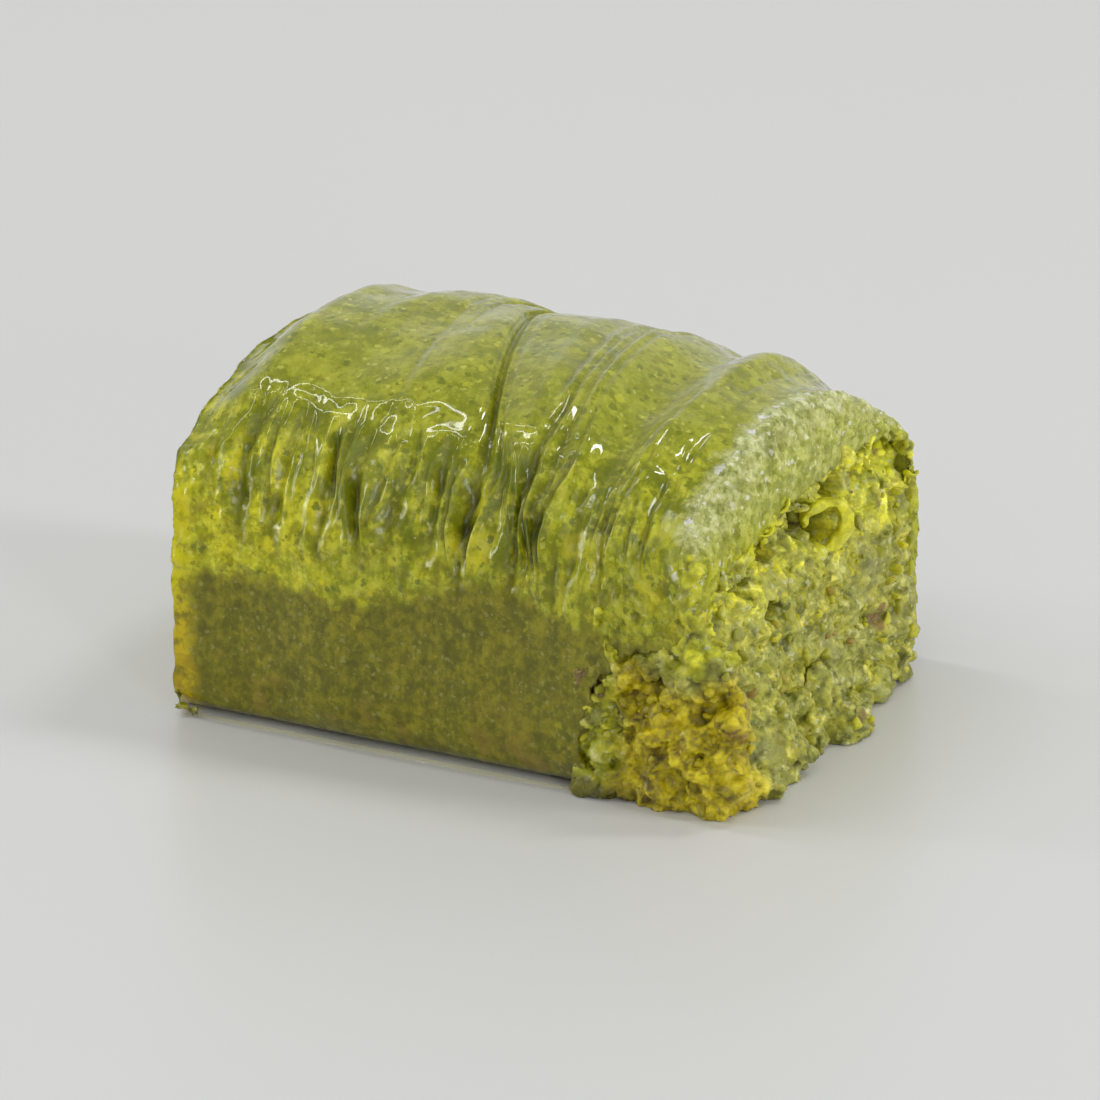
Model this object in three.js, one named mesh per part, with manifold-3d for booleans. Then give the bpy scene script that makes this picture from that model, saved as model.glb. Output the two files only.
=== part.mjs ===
// One piece of pistachio roll baklava: a soft, syrup-soaked dough wrapper, gathered in folds that run round
// the roll, and a crumbly pistachio filling that runs through it and shows at both cut ends.
// Millimetres. X runs along the roll, Z is up, and the piece rests on its flat base.
// The cut end that faces +X is the rough one: its front corner is torn open, and filling has slumped at its
// foot.
import * as THREE from 'three';
import { mergeVertices } from 'three/addons/utils/BufferGeometryUtils.js';
import Module from 'manifold-3d';

const wasm = await Module();
wasm.setup();

// Driving dimensions of the roll.
const LENGTH = 46;
const WIDTH = 38;
const HEIGHT = 29.3;
const SPRING_HEIGHT = 12.5; // where the upright sides start to arch over
const HALF_LENGTH = LENGTH / 2;
const HALF_WIDTH = WIDTH / 2;

// The cross-section: powers of the superellipses that make the arches and the lower corners.
const ARCH_POWER = 2.35;
const INNER_ARCH_POWER = 4.5;
const CORNER_POWER = 9;
const BASE_FLATTENING = 0.35; // how far the lower curve runs below the base before it is cut flat

// The wrapper's thickness, many layers over the top and one skin elsewhere, and the gap to the filling.
const SIDE_SKIN = 1.7;
const BASE_SKIN = 0.9;
const FILLING_HEIGHT = 21.0;
const FILLING_TILT = 1.2; // the filling's top is this much higher at the back edge than in the middle
const GAP = 0.3;

// The syrup line: smooth below it, folded and a little proud above it.
const SOAK_HEIGHT = 13.4;
const SOAK_SWING = 0.9;
const SOAK_STEP = 0.25;

// How the knife shaped the ends: how much lower the crest is there and over what length, and how far its edge
// and the other edges stand back from the cut.
const END_DROP = { left: { depth: 2.4, length: 6.5 }, right: { depth: 2.4, length: 9.5 } };
const CREST_SETBACK = { left: 3.2, right: 2.2 };
const EDGE_SETBACK = { left: -0.4, right: 0.5 };
const CUT_ROUGHNESS = 0.3;
const CUT_SWELL = 0.5; // how far the cut edge bulges

// Folds round the roll: place along X, depth, height of the foot, and the share of the depth over the crest.
const FOLDS = [
  { at: -20.0, depth: 0.5, foot: 16.0, over: 0.1 },
  { at: -17.4, depth: 0.6, foot: 15.0, over: 0.2 },
  { at: -14.5, depth: 0.9, foot: 14.4, over: 0.3 },
  { at: -10.6, depth: 1.0, foot: 15.4, over: 0.3 },
  { at: -7.3, depth: 1.0, foot: 13.4, over: 0.5 },
  { at: -4.1, depth: 0.6, foot: 16.0, over: 0.2 },
  { at: -1.0, depth: 0.9, foot: 15.0, over: 0.2 },
  { at: 1.8, depth: 1.5, foot: 13.8, over: 1.0 },
  { at: 4.3, depth: 0.6, foot: 17.0, over: 0.2 },
  { at: 6.5, depth: 1.2, foot: 14.6, over: 0.3 },
  { at: 8.2, depth: 1.0, foot: 15.2, over: 0.4 },
  { at: 11.6, depth: 0.6, foot: 16.5, over: 0.2 },
  { at: 15.4, depth: 0.8, foot: 16.0, over: 1.3 },
  { at: 18.8, depth: 0.5, foot: 17.0, over: 0.1 },
];
const DEEPEST_FOLD = 1.6;
const FOLD_WIDTH = 0.85;
const FOLD_RISE = 4; // height over which a fold grows from its foot to full depth
const CREST_FROM = 24; // height above which a fold counts as crossing the crest
const FOLD_SWAY = 0.5;

// Broad hollows across the crest, and the swells between them.
const CREST_SAGS = [
  { at: -16.5, depth: -0.3, width: 3.0 },
  { at: 1.8, depth: 0.5, width: 2.2 },
  { at: 8.0, depth: -0.2, width: 3.0 },
  { at: 14.6, depth: 1.0, width: 2.2 },
];

// Folds run slantwise over the crest, the main one most of all.
const LEAN = 3.1;
const MAIN_LEAN = { extra: 3.6, at: 1.8, spread: 4 };
const LEAN_FROM_Y = -15;
const LEAN_TO_Y = 6;
const LEAN_MIDDLE = 8; // the slant fades from here to the ends
const BACK_FADE = { from: 8, to: 18, share: 0.7 }; // and over the back

// Slow unevenness of hand-rolled dough.
const UNEVENNESS = 0.28;

// The corner torn out of the wrapper: a lumpy superellipsoid.
const TEAR = { centre: [22.6, -18.4, 3.6], radii: [9.4, 5.0, 10.0], power: 3.0 };
const LUMPINESS = 0.05;

// Filling spilled into the torn corner: a bed, with clots on it in rows and columns.
const SPILL_BED = { centre: [19.4, -15.6, 4.2], radii: [6.2, 3.2, 9.4], power: 2.6, lumpiness: 0.12 };
const SPILL = { from: [14.8, -17.6, 0.9], to: [23.8, -16.4, 11.0], columns: 4, rows: 4, radius: 1.75 };

// Clots that have slumped at the foot of each end: place across the piece, and reach beyond the cut.
const SLUMPS = {
  right: [
    [-16.0, 2.6],
    [-12.4, 3.1],
    [-9.2, 3.6],
    [-5.8, 2.4],
    [-2.4, 1.9],
    [1.4, 4.0],
    [5.2, 2.0],
    [9.8, 1.2],
    [14.6, 1.0],
  ],
  left: [
    [-11.0, 0.9],
    [9.0, 0.9],
  ],
};
const CLOT_RADIUS = { least: 1.3, most: 2.5 };
const CLOT_UNEVENNESS = 0.14;
const SECOND_LEVEL = { rise: 2.7, share: 0.5, least: 1.2 }; // above the clots with enough reach left there

// The filling's ends: how they lie back under the wrapper's crest and lean out below, and how rough they are.
const RECESS = 1.7;
const RECESS_FROM = 11;
const FOOT_LEAN = 0.9;
const END_RELIEF = 0.3;

// Hollows in the rough end, each where a layer has curled away from the filling: y, z and radius.
const HOLLOWS = [
  [-5.0, 17.8, 1.5],
  [1.2, 17.8, 1.4],
  [6.3, 18.8, 1.2],
  [-9.2, 15.8, 1.1],
  [-13.8, 17.0, 1.1],
  [-5.6, 12.6, 0.8],
];
const HOLLOW_DEPTH = 2.4;

// Crumbs fused to the filling: how many on each end and on each clot, and their radii.
const FACE_CRUMBS = { right: 18, left: 7 };
const CRUMBS_ON_CLOT = 1;
const CRUMB_RADIUS = { least: 0.55, most: 1.15 };

// Mesh steps.
const SECTION_SAMPLES = 900;
const OVER_STEPS = 55; // up one side, over the arch and down the other
const BASE_STEPS = 4;
const SIDE_CLOSENESS = 0.5;
const COLUMN_STEP = 2.1;
const LEAST_COLUMN_STEP = 0.4;
const CUT_STEPS = 3;
const END_CELL = 2.0;

const lerp = (a, b, t) => a + (b - a) * t;
const clamp01 = (t) => Math.min(1, Math.max(0, t));
const smooth = (t) => clamp01(t) ** 2 * (3 - 2 * clamp01(t));
const signedPower = (value, power) => Math.sign(value) * Math.abs(value) ** power;

// A repeatable draw from 0 to 1.
function drawer(seed) {
  let state = seed;
  return () => {
    state = (state * 1664525 + 1013904223) % 4294967296;
    return state / 4294967296;
  };
}

// Points along an outline at even steps, with closer steps higher up, where the folds are.
function steppedAlong(outline, steps) {
  const travel = [0];
  for (let i = 1; i < outline.length; i++) {
    const closeness = lerp(SIDE_CLOSENESS, 1, smooth(outline[i].y / SPRING_HEIGHT));
    travel.push(travel[i - 1] + outline[i].distanceTo(outline[i - 1]) * closeness);
  }
  const points = [outline[0]];
  let k = 0;
  for (let j = 1; j < steps; j++) {
    const target = (travel[outline.length - 1] * j) / steps;
    while (travel[k + 1] < target) k++;
    const share = (target - travel[k]) / (travel[k + 1] - travel[k]);
    points.push(outline[k].clone().lerp(outline[k + 1], share));
  }
  points.push(outline[outline.length - 1]);
  return points;
}

// A closed cross-section with outward normals: up the +Y side, over the arch, down the -Y side and back along
// the flat base.
function crossSection({ halfWidth, crest, base, archPower, tilt }) {
  const outline = [];
  for (let i = 0; i <= SECTION_SAMPLES; i++) {
    const angle = -Math.PI / 2 + (2 * Math.PI * i) / SECTION_SAMPLES;
    const c = Math.cos(angle);
    const s = Math.sin(angle);
    const power = s >= 0 ? archPower : CORNER_POWER;
    const reach = s >= 0 ? crest - SPRING_HEIGHT : SPRING_HEIGHT - base + BASE_FLATTENING;
    const y = halfWidth * signedPower(c, 2 / power);
    const z = SPRING_HEIGHT + reach * signedPower(s, 2 / power) + (tilt * y * Math.max(0, s)) / HALF_WIDTH;
    if (z > base) outline.push(new THREE.Vector2(y, z));
  }
  const first = outline[0].setY(base);
  const last = outline[outline.length - 1].setY(base);
  const points = steppedAlong(outline, OVER_STEPS);
  for (let j = 1; j < BASE_STEPS; j++) points.push(last.clone().lerp(first, j / BASE_STEPS));
  return points.map((point, j) => {
    const next = points[(j + 1) % points.length];
    const before = points[(j + points.length - 1) % points.length];
    const along = next.clone().sub(before).normalize();
    return { y: point.x, z: point.y, normalY: along.y, normalZ: -along.x };
  });
}

const outerRing = crossSection({
  halfWidth: HALF_WIDTH,
  crest: HEIGHT,
  base: 0,
  archPower: ARCH_POWER,
  tilt: 0,
});
const innerRing = crossSection({
  halfWidth: HALF_WIDTH - SIDE_SKIN,
  crest: FILLING_HEIGHT,
  base: BASE_SKIN,
  archPower: INNER_ARCH_POWER,
  tilt: FILLING_TILT,
});

// How near the crest a height is: 0 on the upright sides and base, 1 at the crest.
const crestShare = (z) => smooth((z - SPRING_HEIGHT) / (HEIGHT - SPRING_HEIGHT)) ** 2;

// Depth of the folds at a place along the roll and round it.
function foldDepth(u, z) {
  let depth = 0;
  for (const fold of FOLDS) {
    const risen = smooth((z - fold.foot) / FOLD_RISE);
    const crossing = lerp(1, fold.over, smooth((z - CREST_FROM) / (HEIGHT - CREST_FROM)));
    depth += fold.depth * risen * crossing * Math.exp(-Math.abs(u - fold.at) / FOLD_WIDTH);
  }
  return Math.min(depth, DEEPEST_FOLD);
}

// Slow swells and hollows of the outer face; the base stays flat.
function unevenness(u, y, z) {
  const long = Math.sin(0.31 * u + 0.9) * Math.cos(0.17 * y + 0.4);
  const short = 0.6 * Math.sin(0.53 * u - 0.23 * y + 2.1);
  const sags = CREST_SAGS.map(({ at, depth, width }) => depth * Math.exp(-(((u - at) / width) ** 2)));
  return UNEVENNESS * smooth(z / 3) * (long + short) - crestShare(z) * sags.reduce((sum, sag) => sum + sag);
}

// The folded part stands a little proud of the soaked part.
function soakStep(u, z) {
  const line = SOAK_HEIGHT + SOAK_SWING * Math.sin(0.29 * u + 0.6) + 0.4 * Math.sin(1.1 * u);
  return SOAK_STEP * smooth((z - line) / 1.4);
}

// How far a fold is carried along X: swaying on the sides, slanting over the crest.
function foldShift(u, y, z) {
  const main = MAIN_LEAN.extra * Math.exp(-(((u - MAIN_LEAN.at) / MAIN_LEAN.spread) ** 2));
  const back = 1 - BACK_FADE.share * smooth((y - BACK_FADE.from) / (BACK_FADE.to - BACK_FADE.from));
  const over = back * clamp01((y - LEAN_FROM_Y) / (LEAN_TO_Y - LEAN_FROM_Y));
  const middle = 1 - smooth((Math.abs(u) - LEAN_MIDDLE) / LEAN_MIDDLE);
  const sway = FOLD_SWAY * Math.sin(0.5 * z + 0.8 * u);
  return (sway - (LEAN + main) * over) * middle * smooth((z - SOAK_HEIGHT) / 8);
}

// A point of the wrapper's outer face. u is its place along the roll, and endX where its line meets the cut.
function outerPoint(u, ring, endX, margin) {
  const { depth, length } = u < 0 ? END_DROP.left : END_DROP.right;
  const setback = (endX - Math.sign(u) * HALF_LENGTH) * smooth((Math.abs(u) - 12) / (HALF_LENGTH - 12));
  const drop = depth * smooth((Math.abs(u) - (HALF_LENGTH - length)) / length) * crestShare(ring.z);
  const outwards = unevenness(u, ring.y, ring.z) + soakStep(u, ring.z) - foldDepth(u, ring.z) + margin;
  const x = u + foldShift(u, ring.y, ring.z) + setback;
  return [x, ring.y + ring.normalY * outwards, Math.max(-margin, ring.z + ring.normalZ * outwards - drop)];
}

// Places along the roll that get a column of vertices: each fold's bottom and flanks, and even steps between.
function columnPlaces() {
  const wanted = [-HALF_LENGTH, HALF_LENGTH];
  for (const { at } of FOLDS) wanted.push(at - FOLD_WIDTH, at, at + FOLD_WIDTH);
  wanted.sort((a, b) => a - b);
  const places = [wanted[0]];
  for (const place of wanted.slice(1)) {
    const last = places[places.length - 1];
    if (place - last < LEAST_COLUMN_STEP) continue;
    const pieces = Math.ceil((place - last) / COLUMN_STEP);
    for (let i = 1; i <= pieces; i++) places.push(lerp(last, place, i / pieces));
  }
  return places;
}

// A closed mesh from rows of points. Each row is a ring; the rows close on themselves, or end in two poles.
function meshFromRings(rows, poles) {
  const steps = rows[0].length;
  const positions = rows.flat(2);
  const index = [];
  const at = (i, j) => (i % rows.length) * steps + (j % steps);
  const strips = poles ? rows.length - 1 : rows.length;
  for (let i = 0; i < strips; i++) {
    for (let j = 0; j < steps; j++) {
      index.push(at(i, j), at(i, j + 1), at(i + 1, j));
      index.push(at(i, j + 1), at(i + 1, j + 1), at(i + 1, j));
    }
  }
  if (poles) {
    const first = positions.length / 3;
    positions.push(...poles[0], ...poles[1]);
    for (let j = 0; j < steps; j++) {
      index.push(first, at(0, j + 1), at(0, j));
      index.push(first + 1, at(rows.length - 1, j), at(rows.length - 1, j + 1));
    }
  }
  const geometry = new THREE.BufferGeometry();
  geometry.setAttribute('position', new THREE.Float32BufferAttribute(positions, 3));
  geometry.setIndex(index);
  return geometry;
}

function solidFrom(geometry) {
  const bare = geometry.clone();
  bare.deleteAttribute('normal');
  bare.deleteAttribute('uv');
  const merged = mergeVertices(bare, 1e-4);
  const vertProperties = merged.attributes.position.array;
  const triVerts = new Uint32Array(merged.index.array);
  return new wasm.Manifold(new wasm.Mesh({ numProp: 3, vertProperties, triVerts }));
}

function geometryFrom(solid) {
  const mesh = solid.getMesh();
  const geometry = new THREE.BufferGeometry();
  geometry.setAttribute('position', new THREE.BufferAttribute(new Float32Array(mesh.vertProperties), 3));
  geometry.setIndex(new THREE.BufferAttribute(new Uint32Array(mesh.triVerts), 1));
  geometry.computeVertexNormals();
  return geometry;
}

function joined(solids) {
  return solids.reduce((whole, solid) => whole.add(solid));
}

// The largest body of a solid: it drops loose scraps and fills sealed hollows.
function largestBody(solid) {
  return solid.decompose().reduce((best, body) => (body.volume() > best.volume() ? body : best));
}

// The point of a superellipsoid's surface that lies in a direction from its centre.
function surfacePoint({ centre, radii, power }, direction) {
  const parts = direction.map((value) => Math.abs(value) ** power);
  const reach = (parts[0] + parts[1] + parts[2]) ** (-1 / power);
  return centre.map((value, axis) => value + radii[axis] * direction[axis] * reach);
}

// A lumpy superellipsoid.
function lump(shape, detail, margin = 0) {
  const geometry = new THREE.IcosahedronGeometry(1, detail);
  const position = geometry.attributes.position;
  const radii = shape.radii.map((radius) => radius - margin);
  for (let i = 0; i < position.count; i++) {
    const direction = new THREE.Vector3().fromBufferAttribute(position, i).toArray();
    const point = surfacePoint({ centre: [0, 0, 0], radii, power: shape.power }, direction);
    const waves = direction.map((value, axis) => Math.sin(4 * value + axis + shape.centre[1]));
    const swell = 1 + ((shape.lumpiness ?? LUMPINESS) * (waves[0] + waves[1] + waves[2])) / 3;
    position.setXYZ(i, ...point.map((value, axis) => shape.centre[axis] + value * swell));
  }
  return solidFrom(geometry);
}

// A crumb: an uneven, angular grain.
function crumb(centre, radius, draw) {
  const geometry = new THREE.IcosahedronGeometry(1, 0);
  geometry.scale(lerp(0.8, 1.2, draw()), lerp(0.8, 1.2, draw()), lerp(0.75, 1.05, draw()));
  geometry.rotateX(Math.PI * draw()).rotateZ(Math.PI * draw());
  geometry.scale(radius, radius, radius).translate(...centre);
  return solidFrom(geometry);
}

const crumbRadius = (draw) => lerp(CRUMB_RADIUS.least, CRUMB_RADIUS.most, draw() ** 1.5);

// The sleeve of dough, with its torn corner. A margin makes every face stand that much further out.
function makeSleeve(margin = 0) {
  const draw = drawer(7);
  const roughness = () => CUT_ROUGHNESS * (2 * draw() - 1);
  const cutAt = (side, edge, crest) =>
    outerRing.map((ring) => {
      const setback = lerp(edge, crest, crestShare(ring.z));
      return side * (HALF_LENGTH + margin - setback) + roughness();
    });
  const leftCut = cutAt(-1, EDGE_SETBACK.left, CREST_SETBACK.left);
  const rightCut = cutAt(1, EDGE_SETBACK.right, CREST_SETBACK.right);
  const outerRows = columnPlaces().map((u) =>
    outerRing.map((ring, j) => outerPoint(u, ring, u < 0 ? leftCut[j] : rightCut[j], margin)),
  );
  const innerRow = (side) =>
    innerRing.map((ring) => [
      side * (HALF_LENGTH + margin - Math.abs(roughness())),
      ring.y - ring.normalY * margin,
      ring.z - ring.normalZ * margin,
    ]);
  const cutRows = (from, to, side) => {
    const rows = [];
    for (let k = 1; k < CUT_STEPS; k++) {
      const share = k / CUT_STEPS;
      const swell = side * CUT_SWELL * Math.sin(Math.PI * share);
      rows.push(
        from.map((point, j) => [
          lerp(point[0], to[j][0], share) + swell + roughness(),
          lerp(point[1], to[j][1], share),
          lerp(point[2], to[j][2], share),
        ]),
      );
    }
    return rows;
  };
  const innerRight = innerRow(1);
  const innerLeft = innerRow(-1);
  const rightRows = cutRows(outerRows[outerRows.length - 1], innerRight, 1);
  const leftRows = cutRows(innerLeft, outerRows[0], -1);
  const rows = [...outerRows, ...rightRows, innerRight, innerLeft, ...leftRows];
  return solidFrom(meshFromRings(rows)).subtract(lump(TEAR, 5, margin));
}

// Everything below the resting plane, as a solid to cut with.
function belowBase() {
  const depth = HEIGHT;
  return solidFrom(new THREE.BoxGeometry(2 * LENGTH, 2 * WIDTH, depth).translate(0, 0, -depth / 2));
}

// Where an end of the filling lies, before its clots and crumbs.
function endOfFilling(side, y, z) {
  const recess = RECESS * smooth((z - RECESS_FROM) / (FILLING_HEIGHT - RECESS_FROM));
  const foot = FOOT_LEAN * smooth((RECESS_FROM - z) / RECESS_FROM);
  const coarse = Math.sin(0.9 * y + 1.3 * z) * Math.sin(0.8 * z - 0.5 * y + side);
  const fine = Math.sin(2.3 * y + 1.1 * z) * Math.sin(1.9 * z - 1.3 * y + side);
  return side * (HALF_LENGTH - recess + foot + END_RELIEF * (coarse + fine));
}

// A bar of the filling's cross-section, longer than the piece.
function fillingBar() {
  const rings = [-LENGTH, LENGTH].map((x) =>
    innerRing.map((ring) => [x, ring.y + ring.normalY * GAP, ring.z + ring.normalZ * GAP]),
  );
  return solidFrom(meshFromRings(rings, [[-LENGTH, 0, SPRING_HEIGHT], [LENGTH, 0, SPRING_HEIGHT]]));
}

// The filling's body: it fills the sleeve, and its two ends are rough.
function fillingBody(draw) {
  const across = Math.round(WIDTH / END_CELL);
  const up = Math.round(HEIGHT / END_CELL);
  const block = new THREE.BoxGeometry(2, WIDTH, HEIGHT, 1, across, up).translate(0, 0, HEIGHT / 2);
  const merged = mergeVertices(block.deleteAttribute('normal').deleteAttribute('uv'));
  const position = merged.attributes.position;
  for (let i = 0; i < position.count; i++) {
    const side = Math.sign(position.getX(i));
    position.setX(i, endOfFilling(side, position.getY(i), position.getZ(i)) + END_RELIEF * (2 * draw() - 1));
  }
  return solidFrom(merged).intersect(fillingBar());
}

// Crumbs on an end of the filling, clear of the wrapper.
function faceCrumbs(side, count, draw) {
  const crumbs = [];
  while (crumbs.length < count) {
    const y = (HALF_WIDTH - 3) * (2 * draw() - 1);
    const z = lerp(2.2, FILLING_HEIGHT - 2.4, draw());
    const radius = crumbRadius(draw);
    const crown = FILLING_HEIGHT - 1.6 - 5 * Math.abs(y / HALF_WIDTH) ** 4;
    if (z + radius > crown) continue;
    crumbs.push(crumb([endOfFilling(side, y, z) + side * 0.25 * radius, y, z], radius, draw));
  }
  return crumbs;
}

// A clot of filling, rounded and uneven.
function clot(centre, radius, draw) {
  const radii = [0.97, 1.05, 0.97].map((share) => radius * (share + 0.28 * (draw() - 0.5)));
  return { centre, radii, power: 2.4, lumpiness: CLOT_UNEVENNESS };
}

const clotRadius = (draw) => lerp(CLOT_RADIUS.least, CLOT_RADIUS.most, draw());

// The clots in the torn corner.
function spillClots(draw) {
  const clots = [];
  for (let column = 0; column < SPILL.columns; column++) {
    for (let row = 0; row < SPILL.rows; row++) {
      const along = (column + 0.6 * (draw() - 0.5)) / (SPILL.columns - 1);
      const height = (row + 0.6 * (draw() - 0.5)) / (SPILL.rows - 1);
      const shares = [along, draw(), height];
      const centre = shares.map((share, axis) => lerp(SPILL.from[axis], SPILL.to[axis], share));
      clots.push(clot(centre, SPILL.radius, draw));
    }
  }
  return clots;
}

// The clots at the foot of one end, with a second level where they reach far out.
function slumpClots(side, feet, draw) {
  const clots = [];
  for (const [y, reach] of feet) {
    const radius = clotRadius(draw);
    const across = y + 1.2 * (draw() - 0.5);
    clots.push(clot([side * (HALF_LENGTH + reach - radius), across, 0.5 * radius], radius, draw));
    const upperReach = reach * SECOND_LEVEL.share;
    if (upperReach < SECOND_LEVEL.least) continue;
    const height = 0.5 * radius + SECOND_LEVEL.rise;
    const upper = [side * (HALF_LENGTH + upperReach - radius), y + 2 * draw() - 1, height];
    clots.push(clot(upper, radius, draw));
  }
  return clots;
}

// Crumbs on a clot, on the side that faces out of the piece.
function clotCrumbs(shape, outwards, draw) {
  const crumbs = [];
  while (crumbs.length < CRUMBS_ON_CLOT) {
    const direction = [2 * draw() - 1, 2 * draw() - 1, 2 * draw() - 1];
    const radius = crumbRadius(draw);
    const centre = surfacePoint(shape, direction);
    const facing = direction[0] * outwards[0] + direction[1] * outwards[1];
    if (facing > 0.4 && centre[2] > 0.4 * radius) crumbs.push(crumb(centre, radius, draw));
  }
  return crumbs;
}

function makeWrapper() {
  return largestBody(makeSleeve().subtract(belowBase()));
}

function makeFilling() {
  const draw = drawer(23);
  const hollows = HOLLOWS.map(([y, z, radius]) => {
    const centre = [endOfFilling(1, y, z), y, z];
    return lump({ centre, radii: [HOLLOW_DEPTH, 1.25 * radius, radius], power: 2 }, 1);
  });
  const spill = spillClots(draw);
  const right = slumpClots(1, SLUMPS.right, draw);
  const left = slumpClots(-1, SLUMPS.left, draw);
  const crumbs = [
    ...faceCrumbs(1, FACE_CRUMBS.right, draw),
    ...faceCrumbs(-1, FACE_CRUMBS.left, draw),
    ...spill.flatMap((shape) => clotCrumbs(shape, [0, -1], draw)),
    ...right.flatMap((shape) => clotCrumbs(shape, [1, 0], draw)),
  ];
  const clots = [...spill, ...right, ...left].map((shape) => lump(shape, 1));
  const whole = joined([fillingBody(draw), lump(SPILL_BED, 2), ...clots, ...crumbs]);
  return largestBody(whole.subtract(joined(hollows)).subtract(makeSleeve(GAP)).subtract(belowBase()));
}

const finishes = {
  wrapper: new THREE.MeshStandardMaterial({ color: 0x96993f, roughness: 0.3, metalness: 0 }),
  filling: new THREE.MeshStandardMaterial({ color: 0x908d3b, roughness: 0.7, metalness: 0 }),
};

function mesh(name, solid) {
  const made = new THREE.Mesh(geometryFrom(solid), finishes[name]);
  made.name = name;
  return made;
}

const piece = new THREE.Group();
piece.add(mesh('wrapper', makeWrapper()), mesh('filling', makeFilling()));

// The origin is the middle of the whole piece's footprint.
const box = new THREE.Box3().setFromObject(piece);
const middle = box.getCenter(new THREE.Vector3());
piece.position.set(-middle.x, -middle.y, -box.min.z);

export default piece;
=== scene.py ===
"""Looks for one cut piece of pistachio roll baklava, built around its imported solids.

Shapes are worked out in the piece's own millimetres: X along the roll, -Y out of the long side with the torn
corner, Z up, and the middle of the roll over the origin. The frame's box then says where the piece stands.
"""
import itertools
import math
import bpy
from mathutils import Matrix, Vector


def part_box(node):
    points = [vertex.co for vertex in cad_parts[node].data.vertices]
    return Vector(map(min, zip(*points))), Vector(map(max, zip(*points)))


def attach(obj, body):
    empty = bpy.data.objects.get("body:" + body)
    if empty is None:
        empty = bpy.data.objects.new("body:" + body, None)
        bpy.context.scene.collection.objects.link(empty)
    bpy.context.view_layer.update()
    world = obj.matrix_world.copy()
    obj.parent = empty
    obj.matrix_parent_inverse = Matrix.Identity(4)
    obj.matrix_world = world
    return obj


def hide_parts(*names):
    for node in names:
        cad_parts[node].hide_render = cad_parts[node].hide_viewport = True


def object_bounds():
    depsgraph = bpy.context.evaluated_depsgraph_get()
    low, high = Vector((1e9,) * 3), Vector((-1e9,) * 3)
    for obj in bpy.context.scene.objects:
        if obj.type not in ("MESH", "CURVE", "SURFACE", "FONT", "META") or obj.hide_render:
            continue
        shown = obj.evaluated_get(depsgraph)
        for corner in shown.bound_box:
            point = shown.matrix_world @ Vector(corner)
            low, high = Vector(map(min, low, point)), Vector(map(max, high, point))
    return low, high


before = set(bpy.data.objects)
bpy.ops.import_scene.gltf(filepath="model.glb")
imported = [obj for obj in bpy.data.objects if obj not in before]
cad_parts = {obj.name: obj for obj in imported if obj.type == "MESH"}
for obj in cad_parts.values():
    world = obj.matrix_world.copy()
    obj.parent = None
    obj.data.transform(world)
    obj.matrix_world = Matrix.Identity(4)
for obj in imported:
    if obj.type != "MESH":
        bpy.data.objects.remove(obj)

from types import SimpleNamespace

import bmesh
import bpy
import numpy as np
from mathutils import Euler, Vector

MM = 0.001
CAD_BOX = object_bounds()

# Driving dimensions of the roll, as in the solids.
HALF_LENGTH = 23.0
HALF_WIDTH = 19.0
HEIGHT = 29.3
SPRING_HEIGHT = 12.5
ARCH_POWER = 2.35
INNER_ARCH_POWER = 4.5
CORNER_POWER = 9.0
BASE_FLATTENING = 0.35
SIDE_SKIN = 1.7
BASE_SKIN = 0.9
FILLING_HEIGHT = 21.0
FILLING_TILT = 1.2

# The syrup line: folds lift it, so the dough hangs in lobes between them.
SOAK_HEIGHT = 12.8
SOAK_TILT = 0.9
SOAK_SWING = 0.2
SOAK_RISE = 2.4
SOAK_RISE_AT = 5.5
SOAK_RISE_WIDTH = 6.5
SOAK_LIFT = 0.7
SOAK_LIFT_WIDTH = 0.7
SOAK_STEP = 0.1  # how far the dough stands out above the line
SOAK_STEP_OVER = 0.8

# The middle of the wrapper solid's box.
WRAPPER_CENTRE = (-0.263, -0.030)

# The cut ends: (left, right).
DROP_DEPTH = (3.4, 2.4)
DROP_LENGTH = (5.0, 9.5)
CREST_SETBACK = (-1.0, 2.5)
EDGE_SETBACK = (-0.4, 0.3)
SETBACK_FROM = 15.5
SETBACK_TO = 22.5
SETBACK_FELT_FROM = 12
CUT_SWELL = 0.25
CUT_ROUGHNESS = (0.35, 1.0)  # left and right
LIP_SAG = (1.1, -4.0, 5.0)  # how deep, from where across the piece, and over how much of it
CUT_MARKS = {"film": 1.0, "crease": 0.0, "above": 9.0, "along": 0.0, "round": 0.0}
# The strip inside the lips takes half of the painted shade of hollows.
LIP_MARKS = {**CUT_MARKS, "edge": -2.0, "tone": 0.5, "deep": 0.5}

# Folds round the roll: place along X, depth, height of the foot, and share of the depth over the crest.
FOLDS = [
    (-20.0, 0.5, 16.0, 0.0),
    (-17.4, 0.6, 15.0, 0.0),
    (-14.5, 0.8, 14.4, 0.1),
    (-10.6, 0.9, 15.4, 0.05),
    (-7.3, 0.9, 13.4, 0.15),
    (-4.1, 0.6, 16.0, 0.0),
    (-1.0, 0.8, 15.0, 0.1),
    (1.8, 1.4, 13.8, 0.55),
    (4.3, 0.6, 17.0, 0.1),
    (6.5, 1.2, 14.6, 0.4),
    (8.2, 1.1, 15.2, 0.5),
    (11.6, 0.6, 16.5, 0.1),
    (14.6, 0.7, 16.0, 0.08),
    (18.8, 0.5, 17.0, 0.0),
]
DEEPEST_FOLD = 1.6
FOLD_RISE = 4.0
CREST_FROM = 21.5
CREST_TO = 27.0
FOLD_SWAY = 0.5  # to and fro, on the way up

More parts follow.
